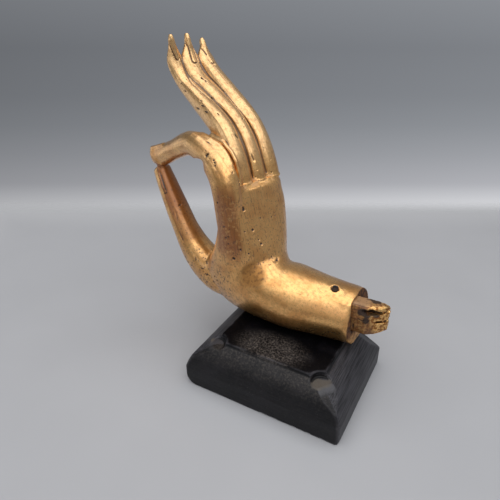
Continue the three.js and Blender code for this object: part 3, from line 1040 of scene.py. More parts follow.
FINGER_LINES = (
    # The clefts between the middle and ring finger, and between the ring and little finger.
    Line(((-113, -3.4, 203), (-108.7, -3, 195), (-103.7, -3.8, 190), (-94.6, -5.2, 185.4),
          (-85, -5, 181.5), (-76.4, -3.4, 177.3), (-69, -1, 173), (-62.5, 2, 167.6),
          (-54.3, 2.7, 162.5), (-47, 3, 156.5), (-41, 3.2, 150.3), (-35, 3, 141.8),
          (-30, 2.6, 130), (-24.5, 1.6, 117)), 1.5, 1.1, dirt=0.75, tapered=False),
    Line(((-107.8, 12.2, 199.2), (-102.3, 11.1, 194.2), (-95.6, 12.3, 189), (-87.2, 13.2, 184.4),
          (-78.6, 13.9, 179.3), (-67.6, 12.8, 174.2), (-58.3, 13.6, 168.2), (-51.7, 16.6, 159.8),
          (-43.4, 17.6, 152.2), (-38.3, 17.6, 145.8), (-31.2, 15.6, 136.2), (-26.3, 15, 125.6),
          (-24, 15, 118)), 1.5, 1.2, dirt=0.85, tapered=False),
    # Thin ridges beside the clefts.
    Line(((-101, 13.3, 193.3), (-92, 14.2, 188.6), (-83.7, 15, 183), (-75.4, 15.8, 177.5),
          (-60, 16.5, 168), (-44, 20, 152), (-32, 17.8, 136), (-26, 17, 122)), 2.0, -0.5),
    Line(((-107, -1, 195), (-94, -3, 187.5), (-84, -2.6, 183), (-74, -0.6, 178), (-60, 4.6, 168),
          (-46, 6, 156), (-35, 5.6, 142)), 2.2, -0.35),
    # The groove along the middle finger's edge.
    Line(((-52, -12.6, 152.6), (-42, -12.4, 149.6), (-33, -12.4, 144.6), (-27, -12.6, 138),
          (-24, -12.8, 130)), 1.2, 0.6, dirt=0.5),
    # Splits in the fingers' backs.
    Line(((-41, -4.1, 154.1), (-38.3, -1.8, 149.4)), 1.5, 1.6),
    Line(((-31.6, 5.1, 138.1), (-28.1, 5.9, 132.1)), 1.2, 1.2),
    Line(((-57.9, -8.1, 168.2), (-55.3, -7.7, 166.6)), 1.4, 1.5),
    Line(((-94, 4.9, 189.3), (-86.7, 4.5, 185.4)), 1.1, 0.8),
    # The nails: each is a flat raised plate, with a groove down its left and a cut across its foot.
    Line(((-116.4, -9.4, 222), (-114.6, -8.2, 212), (-113.2, -6.4, 204.4)), 3.6, -0.55, Section.PLATE,
         tapered=False),
    Line(((-116.9, 6.9, 221.5), (-114.2, 7.9, 212), (-109.6, 7.4, 201.4)), 4.2, -0.55, Section.PLATE,
         tapered=False),
    Line(((-116.4, 22.6, 218), (-109.5, 23.4, 207), (-102.2, 22.4, 200)), 5.4, -0.5, Section.PLATE,
         tapered=False),
    Line(((-117, -12.3, 217), (-116.5, -11.5, 215.5), (-115.4, -10.8, 211.4), (-114.4, -9.8, 208.3),
          (-113.5, -8.8, 205.1), (-112.7, -7.8, 202.9)), 1.3, 1.4, tapered=False),
    Line(((-112.7, -8.2, 202.9), (-112.5, -6.8, 202.5), (-113.2, -4.8, 204.1)), 1.1, 1.1, tapered=False),
    Line(((-117.8, 4.0, 215.8), (-114.1, 5.2, 211.9), (-112.6, 5.5, 208.1), (-110.1, 4.9, 203.6),
          (-108, 4.8, 200.6)), 1.3, 1.4, tapered=False),
    Line(((-108, 4.6, 200.6), (-107.1, 6.5, 199.7), (-107.8, 9.4, 200.2)), 1.1, 1.1, tapered=False),
    Line(((-115.5, 11.0, 211), (-112.4, 10.6, 206.1), (-109, 10.4, 200.5)), 1.1, 0.9, tapered=False),
    Line(((-117, 17.6, 213), (-115.8, 19.1, 210.1), (-112.1, 20, 207.9), (-109.9, 20.6, 205.2)),
         1.3, 1.3, tapered=False),
    Line(((-101, 19.6, 199.3), (-100.3, 21.2, 199), (-101, 24.5, 200)), 1.1, 1.1, tapered=False),
)

FINGER_PITS = tuple(Pit(place, size) for place, size in (
    ((-93.7, 4.1, 189.0), 1.5), ((-91.5, 5.6, 187.2), 0.9), ((-75.7, -10.6, 175.2), 1.1),
    ((-72.4, -11.7, 171.9), 1.4), ((-79.1, -12.6, 168.9), 1.3), ((-67.0, -12.4, 168.1), 1.3),
    ((-97.3, -11.8, 180.2), 1.0), ((-101.2, -6.5, 188.4), 0.8), ((-102.9, -11.2, 185.8), 0.8),
    ((-76.9, 0.9, 175.9), 0.9), ((-82.2, -6.2, 180.0), 0.9), ((-48.9, 10.9, 162.2), 1.0),
    ((-45.0, 8.0, 157.0), 0.8), ((-27.0, 6.5, 126.0), 0.9), ((-24.5, 4.0, 120.5), 1.0),
    ((-52.0, -6.0, 163.0), 0.8), ((-24.6, 21.0, 121.0), 1.1), ((-28.0, 22.5, 131.0), 0.8),
))

HAND_FILLS = (
    # The forefinger's side, up against the middle finger.
    Line(((-64.7, -18.5, 150.1), (-52.6, -18.5, 148.6), (-43.5, -18.5, 146.6), (-34.7, -18.5, 141.4),
          (-29.3, -18.5, 135.4), (-25.2, -18.5, 127.6), (-22.9, -18.5, 119.1)), 5.6, 0),
    # The filler where the palm meets the feet of the three fingers.
    Line(((-23, -14, 117), (-23.6, -5, 116.7), (-23.9, 5, 116.8), (-23.4, 15, 116.5), (-24, 26, 116.6)),
         3.0, 0),
    # The forefinger's blunt end, and the rim of its nail.
    Line(((-129.3, -26.5, 122.9), (-121.6, -26.5, 116.3)), 10.0, 0),
    Line(((-131.6, -29, 127.4), (-122.4, -29, 130.9), (-112, -29, 134.6)), 2.6, 0),
)

HAND_CUTS = (
    # The corner of the loop, under the forefinger's knuckle.
    Line(((-47.6, -37, 134.2), (-87.5, -10, 118.1)), 9.6, 0),
)

HAND_LINES = (
    # The groove between the forefinger and the middle finger's edge.
    Line(((-53.7, -17, 151.9), (-45.2, -17, 150.3), (-37.1, -17, 147.3), (-31, -17, 142.4),
          (-25.8, -17, 136), (-22, -17, 128), (-19.7, -17, 120.5)), 2.0, 1.2, dirt=0.8, tapered=False),
    # The end of the thumb: a long narrow nail with its grooves.
    Line(((-119.6, -30.6, 107.8), (-114.8, -32, 101.2), (-110.4, -33, 95)), 3.0, -0.6, Section.PLATE,
         Facing.SIDE, tapered=False),
    Line(((-118, -30, 107.8), (-113.4, -31.4, 101.6), (-109.1, -32.5, 95.4), (-106.4, -33, 91.5)),
         1.5, 1.1, facing=Facing.SIDE, tapered=False),
    Line(((-121.2, -31.2, 108), (-116.3, -32.8, 101.2), (-112, -33.8, 94.5), (-109.4, -33.6, 92.2)),
         1.4, 0.9, facing=Facing.SIDE, tapered=False),
    Line(((-110.6, -33.8, 92), (-108.4, -33.7, 90.6), (-106, -33.4, 91.2)), 1.6, 1.2, facing=Facing.SIDE),
    # Cracks in the thumb.
    Line(((-86.5, -36.1, 62.2), (-83.4, -36.3, 57.3), (-78.5, -35.5, 52)), 1.6, 1.6, facing=Facing.SIDE),
    Line(((-94, -33, 77.7), (-90.4, -33.7, 72.6), (-88, -34, 68)), 1.1, 0.8, facing=Facing.SIDE),
    # The crease between thumb and palm, seen from the thumb's side.
    Line(((-60, -24.4, 47.5), (-54, -30, 44), (-46, -32.5, 41)), 2.6, 0.9, Section.GOUGE, Facing.SIDE, 0.4),
    # A curved crack on the palm's back.
    Line(((4.6, -3.6, 57.6), (6, -2, 56.6), (6.2, 0.6, 57), (5.3, 2.7, 58.1)), 1.3, 1.2),
    # The lines of the palm's face.
    Line(((-36, -20, 92), (-44, -8, 84), (-52, 0, 66), (-58, 2, 50), (-62, 0, 38)), 1.8, 0.8, dirt=0.5),
    Line(((-36, -24, 97), (-40, -8, 93), (-42, 8, 88), (-43, 22, 82)), 1.6, 0.7, dirt=0.5),
    Line(((-39, -16, 107), (-40, 0, 104), (-41, 14, 103), (-42, 30, 100)), 1.6, 0.7, dirt=0.5),
)

# Pits on the thumb's side of the hand are seen from that side, and the others from behind.
HAND_PITS = tuple(Pit(place, size, Facing.SIDE if place[1] < -26 else Facing.BACK) for place, size in (
    ((-28.8, -33.3, 106.8), 1.6), ((-14.2, -17.7, 101.2), 2.0), ((-14.0, -17.7, 102.8), 1.6),
    ((-8.2, -13.3, 84.2), 1.9), ((-10.1, -3.6, 91.3), 1.3), ((-9.4, 8.6, 88.8), 1.2),
    ((-9.7, 12.9, 88.8), 1.3), ((-2.7, -8.8, 72.1), 1.9), ((3.4, -2.4, 60.1), 1.0),
    ((-4.5, -10.1, 75.5), 1.2), ((-19.5, -32.9, 79.1), 1.6), ((-17.2, -32.1, 80.7), 1.1),
    ((-17.3, -32.2, 74.3), 1.1), ((-20.9, -33.1, 88.5), 1.1), ((-9.6, -20.7, 84.3), 1.2),
    ((-8.5, -25.9, 70.1), 1.3), ((-4.4, -20.9, 66.4), 1.3), ((-13.4, -30, 61.2), 2.1),
    ((-48.7, -33.2, 30.4), 1.6), ((-37.5, -32.5, 33.8), 1.4), ((-28.5, -32.5, 39.7), 1.3),
    ((-50.2, -33.2, 21.2), 1.4), ((-44.2, -32, 19.4), 1.4), ((-34.5, -32.2, 31.1), 1.3),
    ((-28.5, -27.9, 14.8), 1.3), ((-43.1, -31.7, 141.3), 1.9), ((-42.6, -31.7, 142.6), 1.5),
    ((-35.9, -30.4, 139.2), 1.1), ((-34.3, -30.7, 137.6), 1.3), ((-33.1, -31.2, 135.7), 1.3),
    ((-48.7, -24.3, 149.3), 1.2), ((-45.9, -30.4, 144.7), 0.9), ((-22.6, -21.5, 130.6), 1.1),
    ((-22, -33.2, 88.2), 0.9), ((-94.1, -27.2, 82), 1.0), ((-41, -33, 129.1), 0.9),
))


@dataclass
class GildedHand:
    """The hand in two gilded pieces: forearm, palm, forefinger and thumb, and the three fingers."""

    hand_pitch: float = 0.7
    finger_pitch: float = 0.5
    faces: int = 190_000
    # How far facets are rounded, and how high the swells and ripples of hand work are.
    softness: float = 0.65
    swell: float = 0.16
    swell_size: Triple = (13.0, 13.0, 20.0)
    ripple: float = 0.06
    ripple_size: Triple = (4.0, 4.0, 7.0)
    # The nails stay crisp: the skin is calm below the first height and not above the second.
    nails: tuple[float, float] = (185.0, 195.0)
    # How far the forearm, the web of the thumb and the ledge under the fingers are rounded.
    roundness: float = 2.4
    # How wide the corners beside an added or a hollowed bar are.
    finger_blend: float = 2.5
    hand_blend: float = 3.0
    # The size of the forms that wear and dirt follow.
    relief_size: float = 1.4
    # The height of the three fingers' feet.
    knuckles: float = 116.3
    # The radius of the mouth of the peg's hole, and the reach, drop and thickness of its collar.
    peg_mouth: float = 2.3
    collar_reach: float = 4.2
    collar_drop: float = 0.9
    collar_thickness: float = 3.4
    # The dark spot in the bend of the wrist, dirt with painted shade over it, and the corner of the loop as
    # back and up.
    heel: Triple = (2.5, -23.0, 49.5)
    loop_corner: tuple[float, float] = (-44.0, 129.0)
    # The forearm and palm, the forefinger and the thumb, and the shift between their grains.
    limbs: tuple[Limb, ...] = (
        Limb(((90, 24), (10, 26), (-12, 36), (-22, 56), (-27, 90), (-35, 125))),
        Limb(((-34.5, 125.5), (-51, 138), (-72, 143.3), (-97, 133.5), (-132, 118.5))),
        Limb(((-60, 30), (-75, 40), (-90, 60), (-105, 80), (-117, 97), (-126, 112))),
    )
    thumb: int = 2
    grain_shift: float = 300.0
    finger: Limb = Limb(((-29.5, 104.3), (-34.6, 122.3), (-41.3, 138.3), (-56, 155.8), (-84, 175),
                         (-105, 189.5), (-115, 203), (-117.5, 222)))

    def build(self) -> None:
        """Makes both pieces."""
        material = GOLD_LEAF_ON_LACQUER.material()
        self.build_fingers(material)
        self.build_hand(material)

    def soften(self, block: Block, seed: int) -> None:
        """Rounds a block's facets and gives it the uneven skin of hand work.

        Args:
            block: The block.
            seed: The seed of the unevenness.
        """
        low, high = self.nails
        calm = smooth_step(high, low, block.everywhere()[2])
        block.distance += (block.blurred(self.softness) - block.distance) * (0.35 + 0.65 * calm)
        block.distance += self.swell * calm * block.noise(self.swell_size, seed)
        block.distance += self.ripple * calm * block.noise(self.ripple_size, seed + 1)

    def finish_piece(self, block: Block, name: str, limbs: tuple[Limb, ...],
                     material: bpy.types.Material) -> None:
        """Skins a block and gives it its masks and material.

        Args:
            block: The carved block.
            name: The node that the piece replaces.
            limbs: The limbs that its grain follows.
            material: The gilding.
        """
        piece, points = block.skinned(name + "_gilded", self.faces)
        give_relief(piece, block, points, self.relief_size)
        back, side, up = HAND.place(*points.T)
        ways = [limb.follow(back, up) for limb in limbs]
        nearest = np.argmin([away for away, _, _ in ways], axis=0)
        across = np.choose(nearest, [way[1] for way in ways])
        along = np.choose(nearest, [way[2] for way in ways])
        give_grain(piece, np.stack([across, side, along + self.grain_shift * nearest], axis=1))
        # The thumb's inner side is painted brown as shade, most of all towards its end.
        inner = (nearest == self.thumb) * region((across, 1.5, 4.5), (along, 20, 35))
        inner = inner * (0.65 + 0.3 * smooth_step(50, 70, along))
        from_heel = np.sqrt(sum((axis - at) ** 2 for axis, at in zip((back, side, up), self.heel)))
        heel = smooth_step(14, 7, from_heel)
        self.stain(piece, (back, side, up), inner, heel)
        self.lay_bare(piece, block, points, heel)
        dress(piece, material, name)

    def stain(self, piece: bpy.types.Object, place: Axes, inner: np.ndarray, heel: np.ndarray) -> None:
        """Stores where the gilding is painted pale as a highlight, painted brown as shade, soiled and shaded,
        pitted, dusky or aged.

        Args:
            piece: The skinned piece.
            place: Its vertices as back, side and up.
            inner: The shares of the thumb's inner side, painted brown as shade.
            heel: The shares of the dark spot in the bend of the wrist, of dirt and painted shade.
        """
        back, side, up = place
        # Each ramp runs between two places in millimetres, from where a part starts to well inside.
        # The fingers are painted paler towards their tops, as a painted highlight.
        fingers = smooth_step(118, 150, up) * (0.6 + 0.4 * smooth_step(-26, -12, side))
        palm = region((up, 122, 108), (up, 46, 62), (back, -30, -20))
        # The edge of the palm under the forefinger, in shade, which is painted brown.
        palm_edge = 0.85 * region((back, -36, -26), (side, -21, -28), (up, 50, 72), (up, 132, 112))
        low_palm = region((up, 50, 58), (up, 92, 80), (back, -22, -14))
        thumb_ball = region((up, 58, 42), (back, -12, -20), (side, -20, -28))
        wrist = 0.3 * region((up, 66, 50), (back, 12, 0))
        few_pits = 0.2 + 0.25 * region((up, 128, 115), (up, 45, 60))
        few_cracks = 0.15 + 0.25 * smooth_step(120, 128, up)
        masks = {
            "painted_light": fingers,
            "painted_shade": np.maximum(palm_edge, inner),
            # The heel and the wrist are painted darker, as dirt and shade.
            "soiled_and_shaded": np.maximum(heel, wrist),
            "pitted": greatest(0.6 * low_palm, thumb_ball, few_pits, 0.6 * heel),
            "dusky": np.maximum(0.55 * palm + 0.4 * thumb_ball, heel),
            "aged": greatest(few_cracks, palm, palm_edge, 0.5 * thumb_ball),
        }
        for name, values in masks.items():
            give_mask(piece, name, values)

    def lay_bare(self, piece: bpy.types.Object, block: Block, points: np.ndarray,
                 heel: np.ndarray) -> None:
        """Stores the hand's underside, which is painted paler as if lit, its filler and its sawn end, and
        where no wax lies.

        Args:
            piece: The skinned piece.
            block: The block that it was skinned from.
            points: Its vertices in millimetres.
            heel: The shares of the dark spot in the bend of the wrist, of dirt and painted shade.
        """
        back, side, up = HAND.place(*points.T)
        normals = np.empty(len(points) * 3, np.float32)
        piece.data.vertex_normals.foreach_get("vector", normals)
        # The underside is painted paler, as if lit from below.
        give_mask(piece, "painted_lit_underside", region((normals[2::3], 0.0, -0.7), (up, 45, 30)))
        above_feet = up - self.knuckles
        patches = block.sampled(block.noise((2.4, 2.4, 1.6), 77), points)
        filler = region((above_feet, -1.8, 0), (above_feet, 5, 1.5), (side, -14, -11), (back, -30, -25),
                        (patches, 0.0, 0.4))
        give_mask(piece, "filler", filler)
        sawn = smooth_step(SAWN_END - 4.8, SAWN_END - 3.8, points[:, 0])
        give_mask(piece, "sawn", sawn * (1 - 0.6 * smooth_step(58, 52, points[:, 2])))
        give_mask(piece, "bare", greatest(sawn, heel, filler))

    def build_fingers(self, material: bpy.types.Material) -> None:
        """Carves the middle, ring and little finger.

        Args:
            material: The gilding.
        """
        block = Block.from_node("finger_block", self.finger_pitch, 9, HAND)
        self.soften(block, 11)
        up = block.everywhere()[2]
        # Filler pressed in at their feet makes the fingers a little thicker there.
        block.distance -= 0.6 * smooth_step(119.5, 117.5, up)
        for line in FINGER_FILLS:
            block.fill(line, self.finger_blend)
        block.carve_all(FINGER_LINES, FINGER_PITS)
        self.finish_piece(block, "finger_block", (self.finger,), material)

    def build_hand(self, material: bpy.types.Material) -> None:
        """Carves the forearm, palm, forefinger and thumb.

        Args:
            material: The gilding.
        """
        block = Block.from_node("carved_hand", self.hand_pitch, 8, HAND)
        # The edge of the sawn end is chipped.
        block.chip(size=2.6, depth=0.9, seed=9, where=lambda x: smooth_step(48, 51, x))
        back, side, up = block.everywhere()
        x, y, z = replace(block, axes=FRAME).everywhere()
        peg_low, peg_high = box_of("tenon_peg")
        peg = (peg_low + peg_high) / 2
        from_peg = np.hypot(x - peg[0], y - peg[1])
        # The facets are rounded more where the hand is thick, with the mortise filled meanwhile.
        low, high = box_of("wrist_tenon")
        middle, half = (low + high) / 2, (high - low) / 2 + 1.5
        mortise = greatest(*(np.abs(axis - middle[k]) - half[k] for k, axis in enumerate((x, y, z))))
        solid = replace(block, distance=np.minimum(block.distance, np.maximum(mortise, x - SAWN_END + 0.7)))
        rounded = solid.blurred(self.roundness)
        opening = np.maximum(smooth_step(0.5, -0.5, mortise), smooth_step(8, 3, from_peg))
        web = region((back, -30, -44), (up, 30, 40), (up, 72, 62))
        ledge = region((up, 98, 108), (side, -18, -13), (back, -30, -26))
        forearm = region((back, -30, -15), (up, 58, 50), (x, SAWN_END - 2, SAWN_END - 6)) * (1 - opening)
        self.soften(block, 21)
        block.distance += (rounded - block.distance) * greatest(web, ledge, forearm)
        # The gilding narrows the mouth of the peg's hole.
        collar = np.abs(z - peg_high[2] + self.collar_drop) - self.collar_thickness / 2
        collar = greatest(from_peg - self.collar_reach, collar, self.peg_mouth - from_peg, rounded + 0.1)
        block.distance = np.minimum(block.distance, collar)
        for line in HAND_FILLS:
            block.fill(line, self.hand_blend)
        for line in HAND_CUTS:
            block.hollow_out(line, self.hand_blend)
        from_corner = np.hypot(back - self.loop_corner[0], up - self.loop_corner[1])
        corner = region((from_corner, 11, 6), (side, -12, -20))
        block.distance += (block.blurred(self.roundness) - block.distance) * corner
        block.carve_all(HAND_LINES, HAND_PITS)
        # The peg's hole is painted dark with dust and painted shade.
        dust_and_painted_light = region((from_peg, 2.9, 2.4), (np.abs(z - peg_high[2]), 3, 2))
        block.dirt = np.maximum(block.dirt, dust_and_painted_light)
        self.finish_piece(block, "carved_hand", self.limbs, material)


@dataclass
class WristTenon:
    """The bare block let into the forearm's end, carved in three rolls."""

    pitch: float = 0.36
    faces: int = 70_000
    clefts: tuple[Line, ...] = (
        # The deep cleft between the first two rolls, and the finer one below it.
        Line(((59.5, 8.5, 79.8), (63.5, 9.5, 80.3), (68.5, 11.5, 80.2), (73, 14.5, 80), (77, 20, 79.6)),
             2.6, 2.2, facing=Facing.ALL, tapered=False),
        Line(((66, 8.5, 71.9), (69, 9.5, 71.8), (73, 13, 71.6), (77, 19.5, 71.2)), 2.0, 1.8,
             facing=Facing.ALL, tapered=False),
        # The mouth of the deep cleft, which is charred.
        Line(((60, 8, 80.5), (63.5, 8.6, 79.8), (68, 10.4, 80)), 5.4, 1.8, Section.GOUGE, Facing.ALL,
             tapered=False),
        # A slot where the block leaves the forearm, and checks in its front.
        Line(((53.4, 7.4, 68), (53.6, 7.4, 61)), 1.8, 1.8, facing=Facing.ALL),
        Line(((55, 7.5, 74), (60, 7.5, 72.5), (64, 8, 73.5)), 1.0, 0.8, facing=Facing.ALL),
        Line(((56, 7.5, 66), (62, 7.5, 67), (68, 8.5, 65.6)), 0.9, 0.7, facing=Facing.ALL),
    )
    # The unevenness of the split and carved skin: its height, the width of its bumps, and a seed.
    skin: tuple[tuple[float, Triple, int], ...] = (
        (0.35, (9.0, 3.0, 2.6), 31),
        (0.2, (3.0, 1.4, 1.2), 32),
    )
    # The charred spots: the middle, how much each axis counts, and how much smaller than the rest.
    burns: tuple[tuple[Triple, Triple, float], ...] = (
        ((62, 9, 80.3), (1, 1, 1.2), 0.0),
        ((66, 10, 79.6), (0.45, 1, 1.5), 0.0),
        ((62, 8, 73), (1, 1, 0.9), 2.6),
        ((65, 21, 85.5), (0.7, 1, 2), 1.5),
    )

    def build(self) -> None:
        """Makes the tenon."""
        block = Block.from_node("wrist_tenon", self.pitch, 8, FRAME)
        block.distance = block.blurred(0.4)
        for height, sizes, seed in self.skin:
            block.distance += height * block.noise(sizes, seed)
        x = block.everywhere()[0]
        block.distance += 0.4 * smooth_step(60, 66, x) * block.noise((1.9, 1.9, 1.9), 33)
        block.carve_all(self.clefts)
        piece, points = block.skinned("wrist_tenon_carved", self.faces)
        give_relief(piece, block, points, 1.0)
        x, y, z = points.T
        give_grain(piece, np.stack([y, z, x], axis=1))
        rolls = region((x + 0.3 * (z - 71), 63, 70), (z, 86.5, 84))
        give_mask(piece, "flaked", np.maximum(rolls, 0.25 * smooth_step(10, 8, y)))
        give_mask(piece, "topped", region((z, 84, 85), (x, 68, 60)))
        away = [np.linalg.norm((points - middle) * counts, axis=1) + smaller
                for middle, counts, smaller in self.burns]
        ragged = 3.0 * block.sampled(block.noise((2.6, 2.6, 2.6), 34), points)
        give_mask(piece, "charred", smooth_step(6.0, 3.0, np.min(away, axis=0) + ragged))
        dress(piece, OILED_REDWOOD.material(), "wrist_tenon")


@dataclass
class LacqueredPlinth:
    """The stepped plinth, with knocked arrises and gouged corners."""

    pitch: float = 0.7
    faces: int = 180_000
    # How high and how wide the swells of the planed faces are.
    swell: float = 0.12
    swell_size: float = 18.0
    top_length: float = 94.0
    top_depth: float = 74.0
    band: float = 17.5
    notch_radius: float = 8.7
    notch_depth: float = 5.0
    pared_rise: float = 1.6
    pared_slope: float = math.radians(29)
    slope_run: tuple[float, float] = (22.0, 16.25)
    # The knocked near left foot: its corner, the direction of the cut, and how far in it goes.
    foot: tuple[float, float] = (-69.0, -53.25)
    foot_cut: Triple = (-0.6, -0.55, -0.58)
    foot_depth: float = 3.4
    # The pared far right corner: how far out and how high the cut passes, and how steep it is.
    far_facet: tuple[float, float] = (81.0, 21.0)
    far_slope: float = 0.85
    # The middle of the scuffed patch on the top.
    scuff: tuple[float, float] = (-2.0, -24.0)

    def build(self) -> None:
        """Makes the plinth."""
        block = Block.from_node("plinth", self.pitch, 6, FRAME)
        x, y, z = block.everywhere()
        block.distance = block.blurred(0.4)
        block.distance += self.swell * block.noise((self.swell_size,) * 3, 41)
        cut = self.foot_cut
        knocked = cut[0] * (x - self.foot[0]) + cut[1] * (y - self.foot[1]) + cut[2] * z + self.foot_depth
        block.distance = -soft_least(-block.distance, -knocked, 3.0)
        out, high = self.far_facet
        pared = z - high + self.far_slope * ((x + y) / math.sqrt(2) - out)
        block.distance = -soft_least(-block.distance, -pared / math.hypot(1, self.far_slope), 1.0)
        block.chip(size=3.0, depth=0.8, seed=42)
        piece, points = block.skinned("plinth_lacquered", self.faces)
        give_relief(piece, block, points, 1.6)
        self.age(piece, block, points)
        dress(piece, BLACK_LACQUER.material(), "plinth")

    def age(self, piece: bpy.types.Object, block: Block, points: np.ndarray) -> None:
        """Stores the grain, and where filler, the pared facets' painted sheen, dust and scuffs show.

        Args:
            piece: The skinned piece.
            block: The block that it was skinned from.
            points: Its vertices in millimetres.
        """
        x, y, z = points.T
        across, along = np.abs(x) - self.top_length / 2, np.abs(y) - self.top_depth / 2
        run_x, run_y = self.slope_run
        end = smooth_step(-3, 3, across * run_y - along * run_x)
        ends, sides = np.stack([x, z, y], axis=1), np.stack([y, z, x], axis=1)
        give_grain(piece, np.where((end > 0.5)[:, None], ends, sides))
        # The notches' floors, with more filler on the right and at the far left.
        floor = PLINTH_TOP - self.notch_depth
        from_corner = np.hypot(across, along)
        patches = block.sampled(block.noise((5.0, 5.0, 5.0), 43), points)
        filler = region((from_corner, self.notch_radius + 0.4, self.notch_radius - 0.8),
                        (z, floor + 0.8, floor + 0.3), (z, floor - 1, floor - 0.5), (patches, -0.35, 0.2))
        right = np.maximum(smooth_step(-10, 10, x), 0.8 * smooth_step(-50, -52.5, x))
        give_mask(piece, "filler", filler * (0.2 + 0.8 * right))
        give_mask(piece, "flat_top", smooth_step(PLINTH_TOP - 1.0, PLINTH_TOP - 0.4, z))
        # The pared facets, which fall outwards from the notches, are painted a paler grey as their sheen,
        # more on the right.
        outwards = (across * run_x + along * run_y) / math.hypot(run_x, run_y)
        plane = floor + self.pared_rise - outwards * math.tan(self.pared_slope)
        facets = region((np.abs(z - plane), 0.6, 0.2), (outwards, 0.5, 2), (outwards, 11, 4))
        give_mask(piece, "pared", facets * (0.3 + 0.7 * smooth_step(-10, 10, x)))
        # Dust lies on the slopes, most of all on the ends, where its grey is also a painted sheen; scuffs lie
        # on their upper part and on the top.
        sloped = smooth_step(PLINTH_TOP - 1.8, PLINTH_TOP - 2.6, z)
        give_mask(piece, "dust_and_painted_light", sloped * (0.12 + 0.88 * end))
        high = sloped * (0.08 + 0.4 * smooth_step(self.band + 8, PLINTH_TOP - 3, z)) * (1 - 0.6 * end)
        from_scuff = np.hypot(0.62 * (x - self.scuff[0]), y - self.scuff[1])
        give_mask(piece, "scuffed", np.maximum(0.75 * high, smooth_step(24, 8, from_scuff) * (1 - sloped)))


@dataclass
class Fittings:
    """The peg and the two screws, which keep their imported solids."""

    steel_parts: tuple[str, ...] = ("screw_left", "screw_right")

    def build(self) -> None:
        """Dresses the peg and the screws."""
        steel = TURNED_STEEL.material()
        pairs = [("tenon_peg", BAMBOO_END_GRAIN.material())] + [(name, steel) for name in self.steel_parts]
        for name, material in pairs:
            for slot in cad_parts[name].material_slots:
                slot.material = material
            LOG.info("%s: %s", name, material.name)


def standing(right: Triple | np.ndarray, up: Triple | np.ndarray, behind: Triple | np.ndarray,
             place: Triple) -> Matrix:
    """Gives the matrix of a camera or lamp from its three axes and its place in millimetres."""
    rows = [[right[i], up[i], behind[i], place[i] * MM] for i in range(3)]
    return Matrix(rows + [[0, 0, 0, 1]])


@dataclass(frozen=True)
class Lamp:
    """A soft rectangular lamp that points at the hand."""

    name: str
    place: Triple
    size: tuple[float, float]
    watts: float


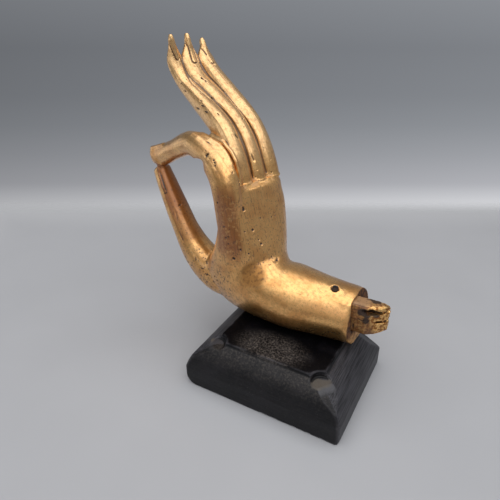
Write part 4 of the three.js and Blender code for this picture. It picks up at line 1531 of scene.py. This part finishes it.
@dataclass
class Studio:
    """A pale table, a grey backdrop, soft lamps, and the camera."""

    table: PaintedTable = PaintedTable()
    lens: float = 34.2
    sensor: float = 36.0
    eye: Triple = (129.37, -293.39, 298.16)
    azimuth: float = math.radians(29.32)
    elevation: float = math.radians(28.79)
    target: Triple = (-20.0, 15.0, 90.0)
    # The world's soft light, and how much brighter the backdrop gets towards one side.
    daylight: str = "#e9eaee"
    glow: float = 0.14
    lean: float = 0.35
    # How square the corners between the backdrop's walls are.
    squareness: float = 8.0
    lamps: tuple[Lamp, ...] = (
        Lamp("overhead", (146.0, -178.0, 1340.0), (2300.0, 2000.0), 22.0),
        Lamp("left", (-1845.0, -2249.0, 810.0), (1500.0, 900.0), 5.5),
        Lamp("front", (318.0, -2118.0, 1340.0), (1900.0, 1300.0), 4.7),
        Lamp("left_low", (-1485.0, -235.0, 90.0), (900.0, 700.0), 1.2),
    )
    # How steeply a line of sight falls or climbs, and the backdrop's grey there.
    backdrop: tuple[tuple[float, str], ...] = (
        (-1.2, "#a6a7ab"), (-0.5, "#b2b3b7"), (-0.462, "#bcbdc1"), (-0.437, "#c6c7ca"),
        (-0.41, "#b7b8bc"), (-0.38, "#a2a3a8"), (-0.315, "#929499"), (-0.25, "#83868b"),
        (-0.19, "#7a7d82"), (-0.1, "#75787d"), (0.0, "#818489"), (0.6, "#7c7f84"),
    )

    def build(self) -> None:
        """Makes the camera, the table, the backdrop and the lamps."""
        self.place_camera()
        self.lay_table()
        self.hang_backdrop()
        for lamp in self.lamps:
            self.hang(lamp)

    def place_camera(self) -> None:
        """Puts the camera where the photographer stood."""
        a, e = self.azimuth, self.elevation
        right = (math.cos(a), math.sin(a), 0.0)
        up = (-math.sin(a) * math.sin(e), math.cos(a) * math.sin(e), math.cos(e))
        behind = (math.sin(a) * math.cos(e), -math.cos(a) * math.cos(e), math.sin(e))
        data = bpy.data.cameras.new("camera")
        data.sensor_width = self.sensor
        data.lens = self.lens
        camera = add_object("camera", data)
        camera.matrix_world = standing(right, up, behind, self.eye)
        bpy.context.scene.camera = camera

    def lay_table(self) -> None:
        """Makes the table top that the plinth stands on."""
        x, y = self.table.half_width * MM, self.table.half_depth * MM
        mesh = bpy.data.meshes.new("table")
        corners = [(-x, -y, 0), (x, -y, 0), (x, y, 0), (-x, y, 0)]
        mesh.from_pydata(corners, [], [(0, 1, 2, 3)])
        mesh.materials.append(self.table.material())
        table = add_object("table", mesh)
        table.matrix_world = Matrix.Rotation(self.azimuth, 4, "Z")

    def hang_backdrop(self) -> None:
        """Makes a world that is soft light for surfaces, and a grey backdrop to look at.

        The backdrop is four plain walls. What is drawn on them depends on how steeply a line of
        sight falls or climbs on its way to a wall, so its bands run straight and level.
        """
        world = bpy.data.worlds.new("studio")
        world.use_nodes = True
        bpy.context.scene.world = world
        tree = world.node_tree
        tree.nodes.clear()
        sight = add_node(tree, Kind.PLACE, output="Generated")
        ahead = (-math.sin(self.azimuth), math.cos(self.azimuth), 0.0)
        aside = (math.cos(self.azimuth), math.sin(self.azimuth), 0.0)
        walls = []
        for way in (ahead, aside):
            towards = add_node(tree, Kind.VECTOR, {0: sight, 1: way}, "Value", operation="DOT_PRODUCT")
            far = add_node(tree, Kind.SUM, {0: towards}, operation="ABSOLUTE")
            walls.append(add_node(tree, Kind.SUM, {0: far, 1: self.squareness}, operation="POWER"))
        wall = add_node(tree, Kind.SUM, {0: walls[0], 1: walls[1]}, operation="ADD")
        wall = add_node(tree, Kind.SUM, {0: wall, 1: 1 / self.squareness}, operation="POWER")
        climb = add_node(tree, Kind.SPLIT, {0: sight}, "Z")
        climb = add_node(tree, Kind.SUM, {0: climb, 1: wall}, operation="DIVIDE")
        low, high = self.backdrop[0][0], self.backdrop[-1][0]
        share = add_node(tree, Kind.RANGE, {"Value": climb, "From Min": low, "From Max": high})
        shade = add_node(tree, Kind.RAMP, {0: share})
        stops = shade.node.color_ramp.elements
        while len(stops) < len(self.backdrop):
            stops.new(0.5)
        for stop, (steepness, _) in zip(stops, self.backdrop):
            stop.position = (steepness - low) / (high - low)
        for stop, (_, grey) in zip(stops, self.backdrop):
            stop.color = linear(grey)
        ray = add_node(tree, Kind.RAY, output="Is Camera Ray").node
        seen = add_node(tree, Kind.SUM, {0: ray.outputs["Is Camera Ray"], 1: ray.outputs["Is Glossy Ray"]},
                        operation="MAXIMUM")
        seen = add_node(tree, Kind.SUM, {0: seen, 1: ray.outputs["Is Transmission Ray"]}, operation="MAXIMUM")
        lean = add_node(tree, Kind.SUM, {0: towards, 1: wall}, operation="DIVIDE")
        lean = add_node(tree, Kind.SUM, {0: lean, 1: self.lean, 2: 1.0}, operation="MULTIPLY_ADD")
        shown = add_node(tree, Kind.GLOW, {"Color": shade, "Strength": lean})
        light = add_node(tree, Kind.GLOW, {"Color": linear(self.daylight), "Strength": self.glow})
        both = add_node(tree, Kind.BLEND, {0: seen, 1: light, 2: shown})
        add_node(tree, Kind.WORLD, {"Surface": both})

    def hang(self, lamp: Lamp) -> None:
        """Hangs a lamp.

        Args:
            lamp: The lamp.
        """
        data = bpy.data.lights.new(lamp.name, "AREA")
        data.shape = "RECTANGLE"
        data.size, data.size_y = lamp.size[0] * MM, lamp.size[1] * MM
        data.energy = lamp.watts
        away = np.array(lamp.place) - np.array(self.target)
        away /= np.linalg.norm(away)
        side = np.cross((0.0, 1.0, 0.0) if away[2] > 0.9 else (0.0, 0.0, 1.0), away)
        side /= np.linalg.norm(side)
        box = add_object(lamp.name, data)
        box.matrix_world = standing(side, np.cross(away, side), away, lamp.place)
        box.visible_camera = False


def main() -> None:
    """Builds the studio and every piece in order."""
    logging.basicConfig(level=logging.INFO, format="%(message)s")
    bpy.context.scene.view_settings.view_transform = "Standard"
    for part in (Studio(), GildedHand(), WristTenon(), LacqueredPlinth(), Fittings()):
        part.build()


if __name__ == "__main__":
    main()
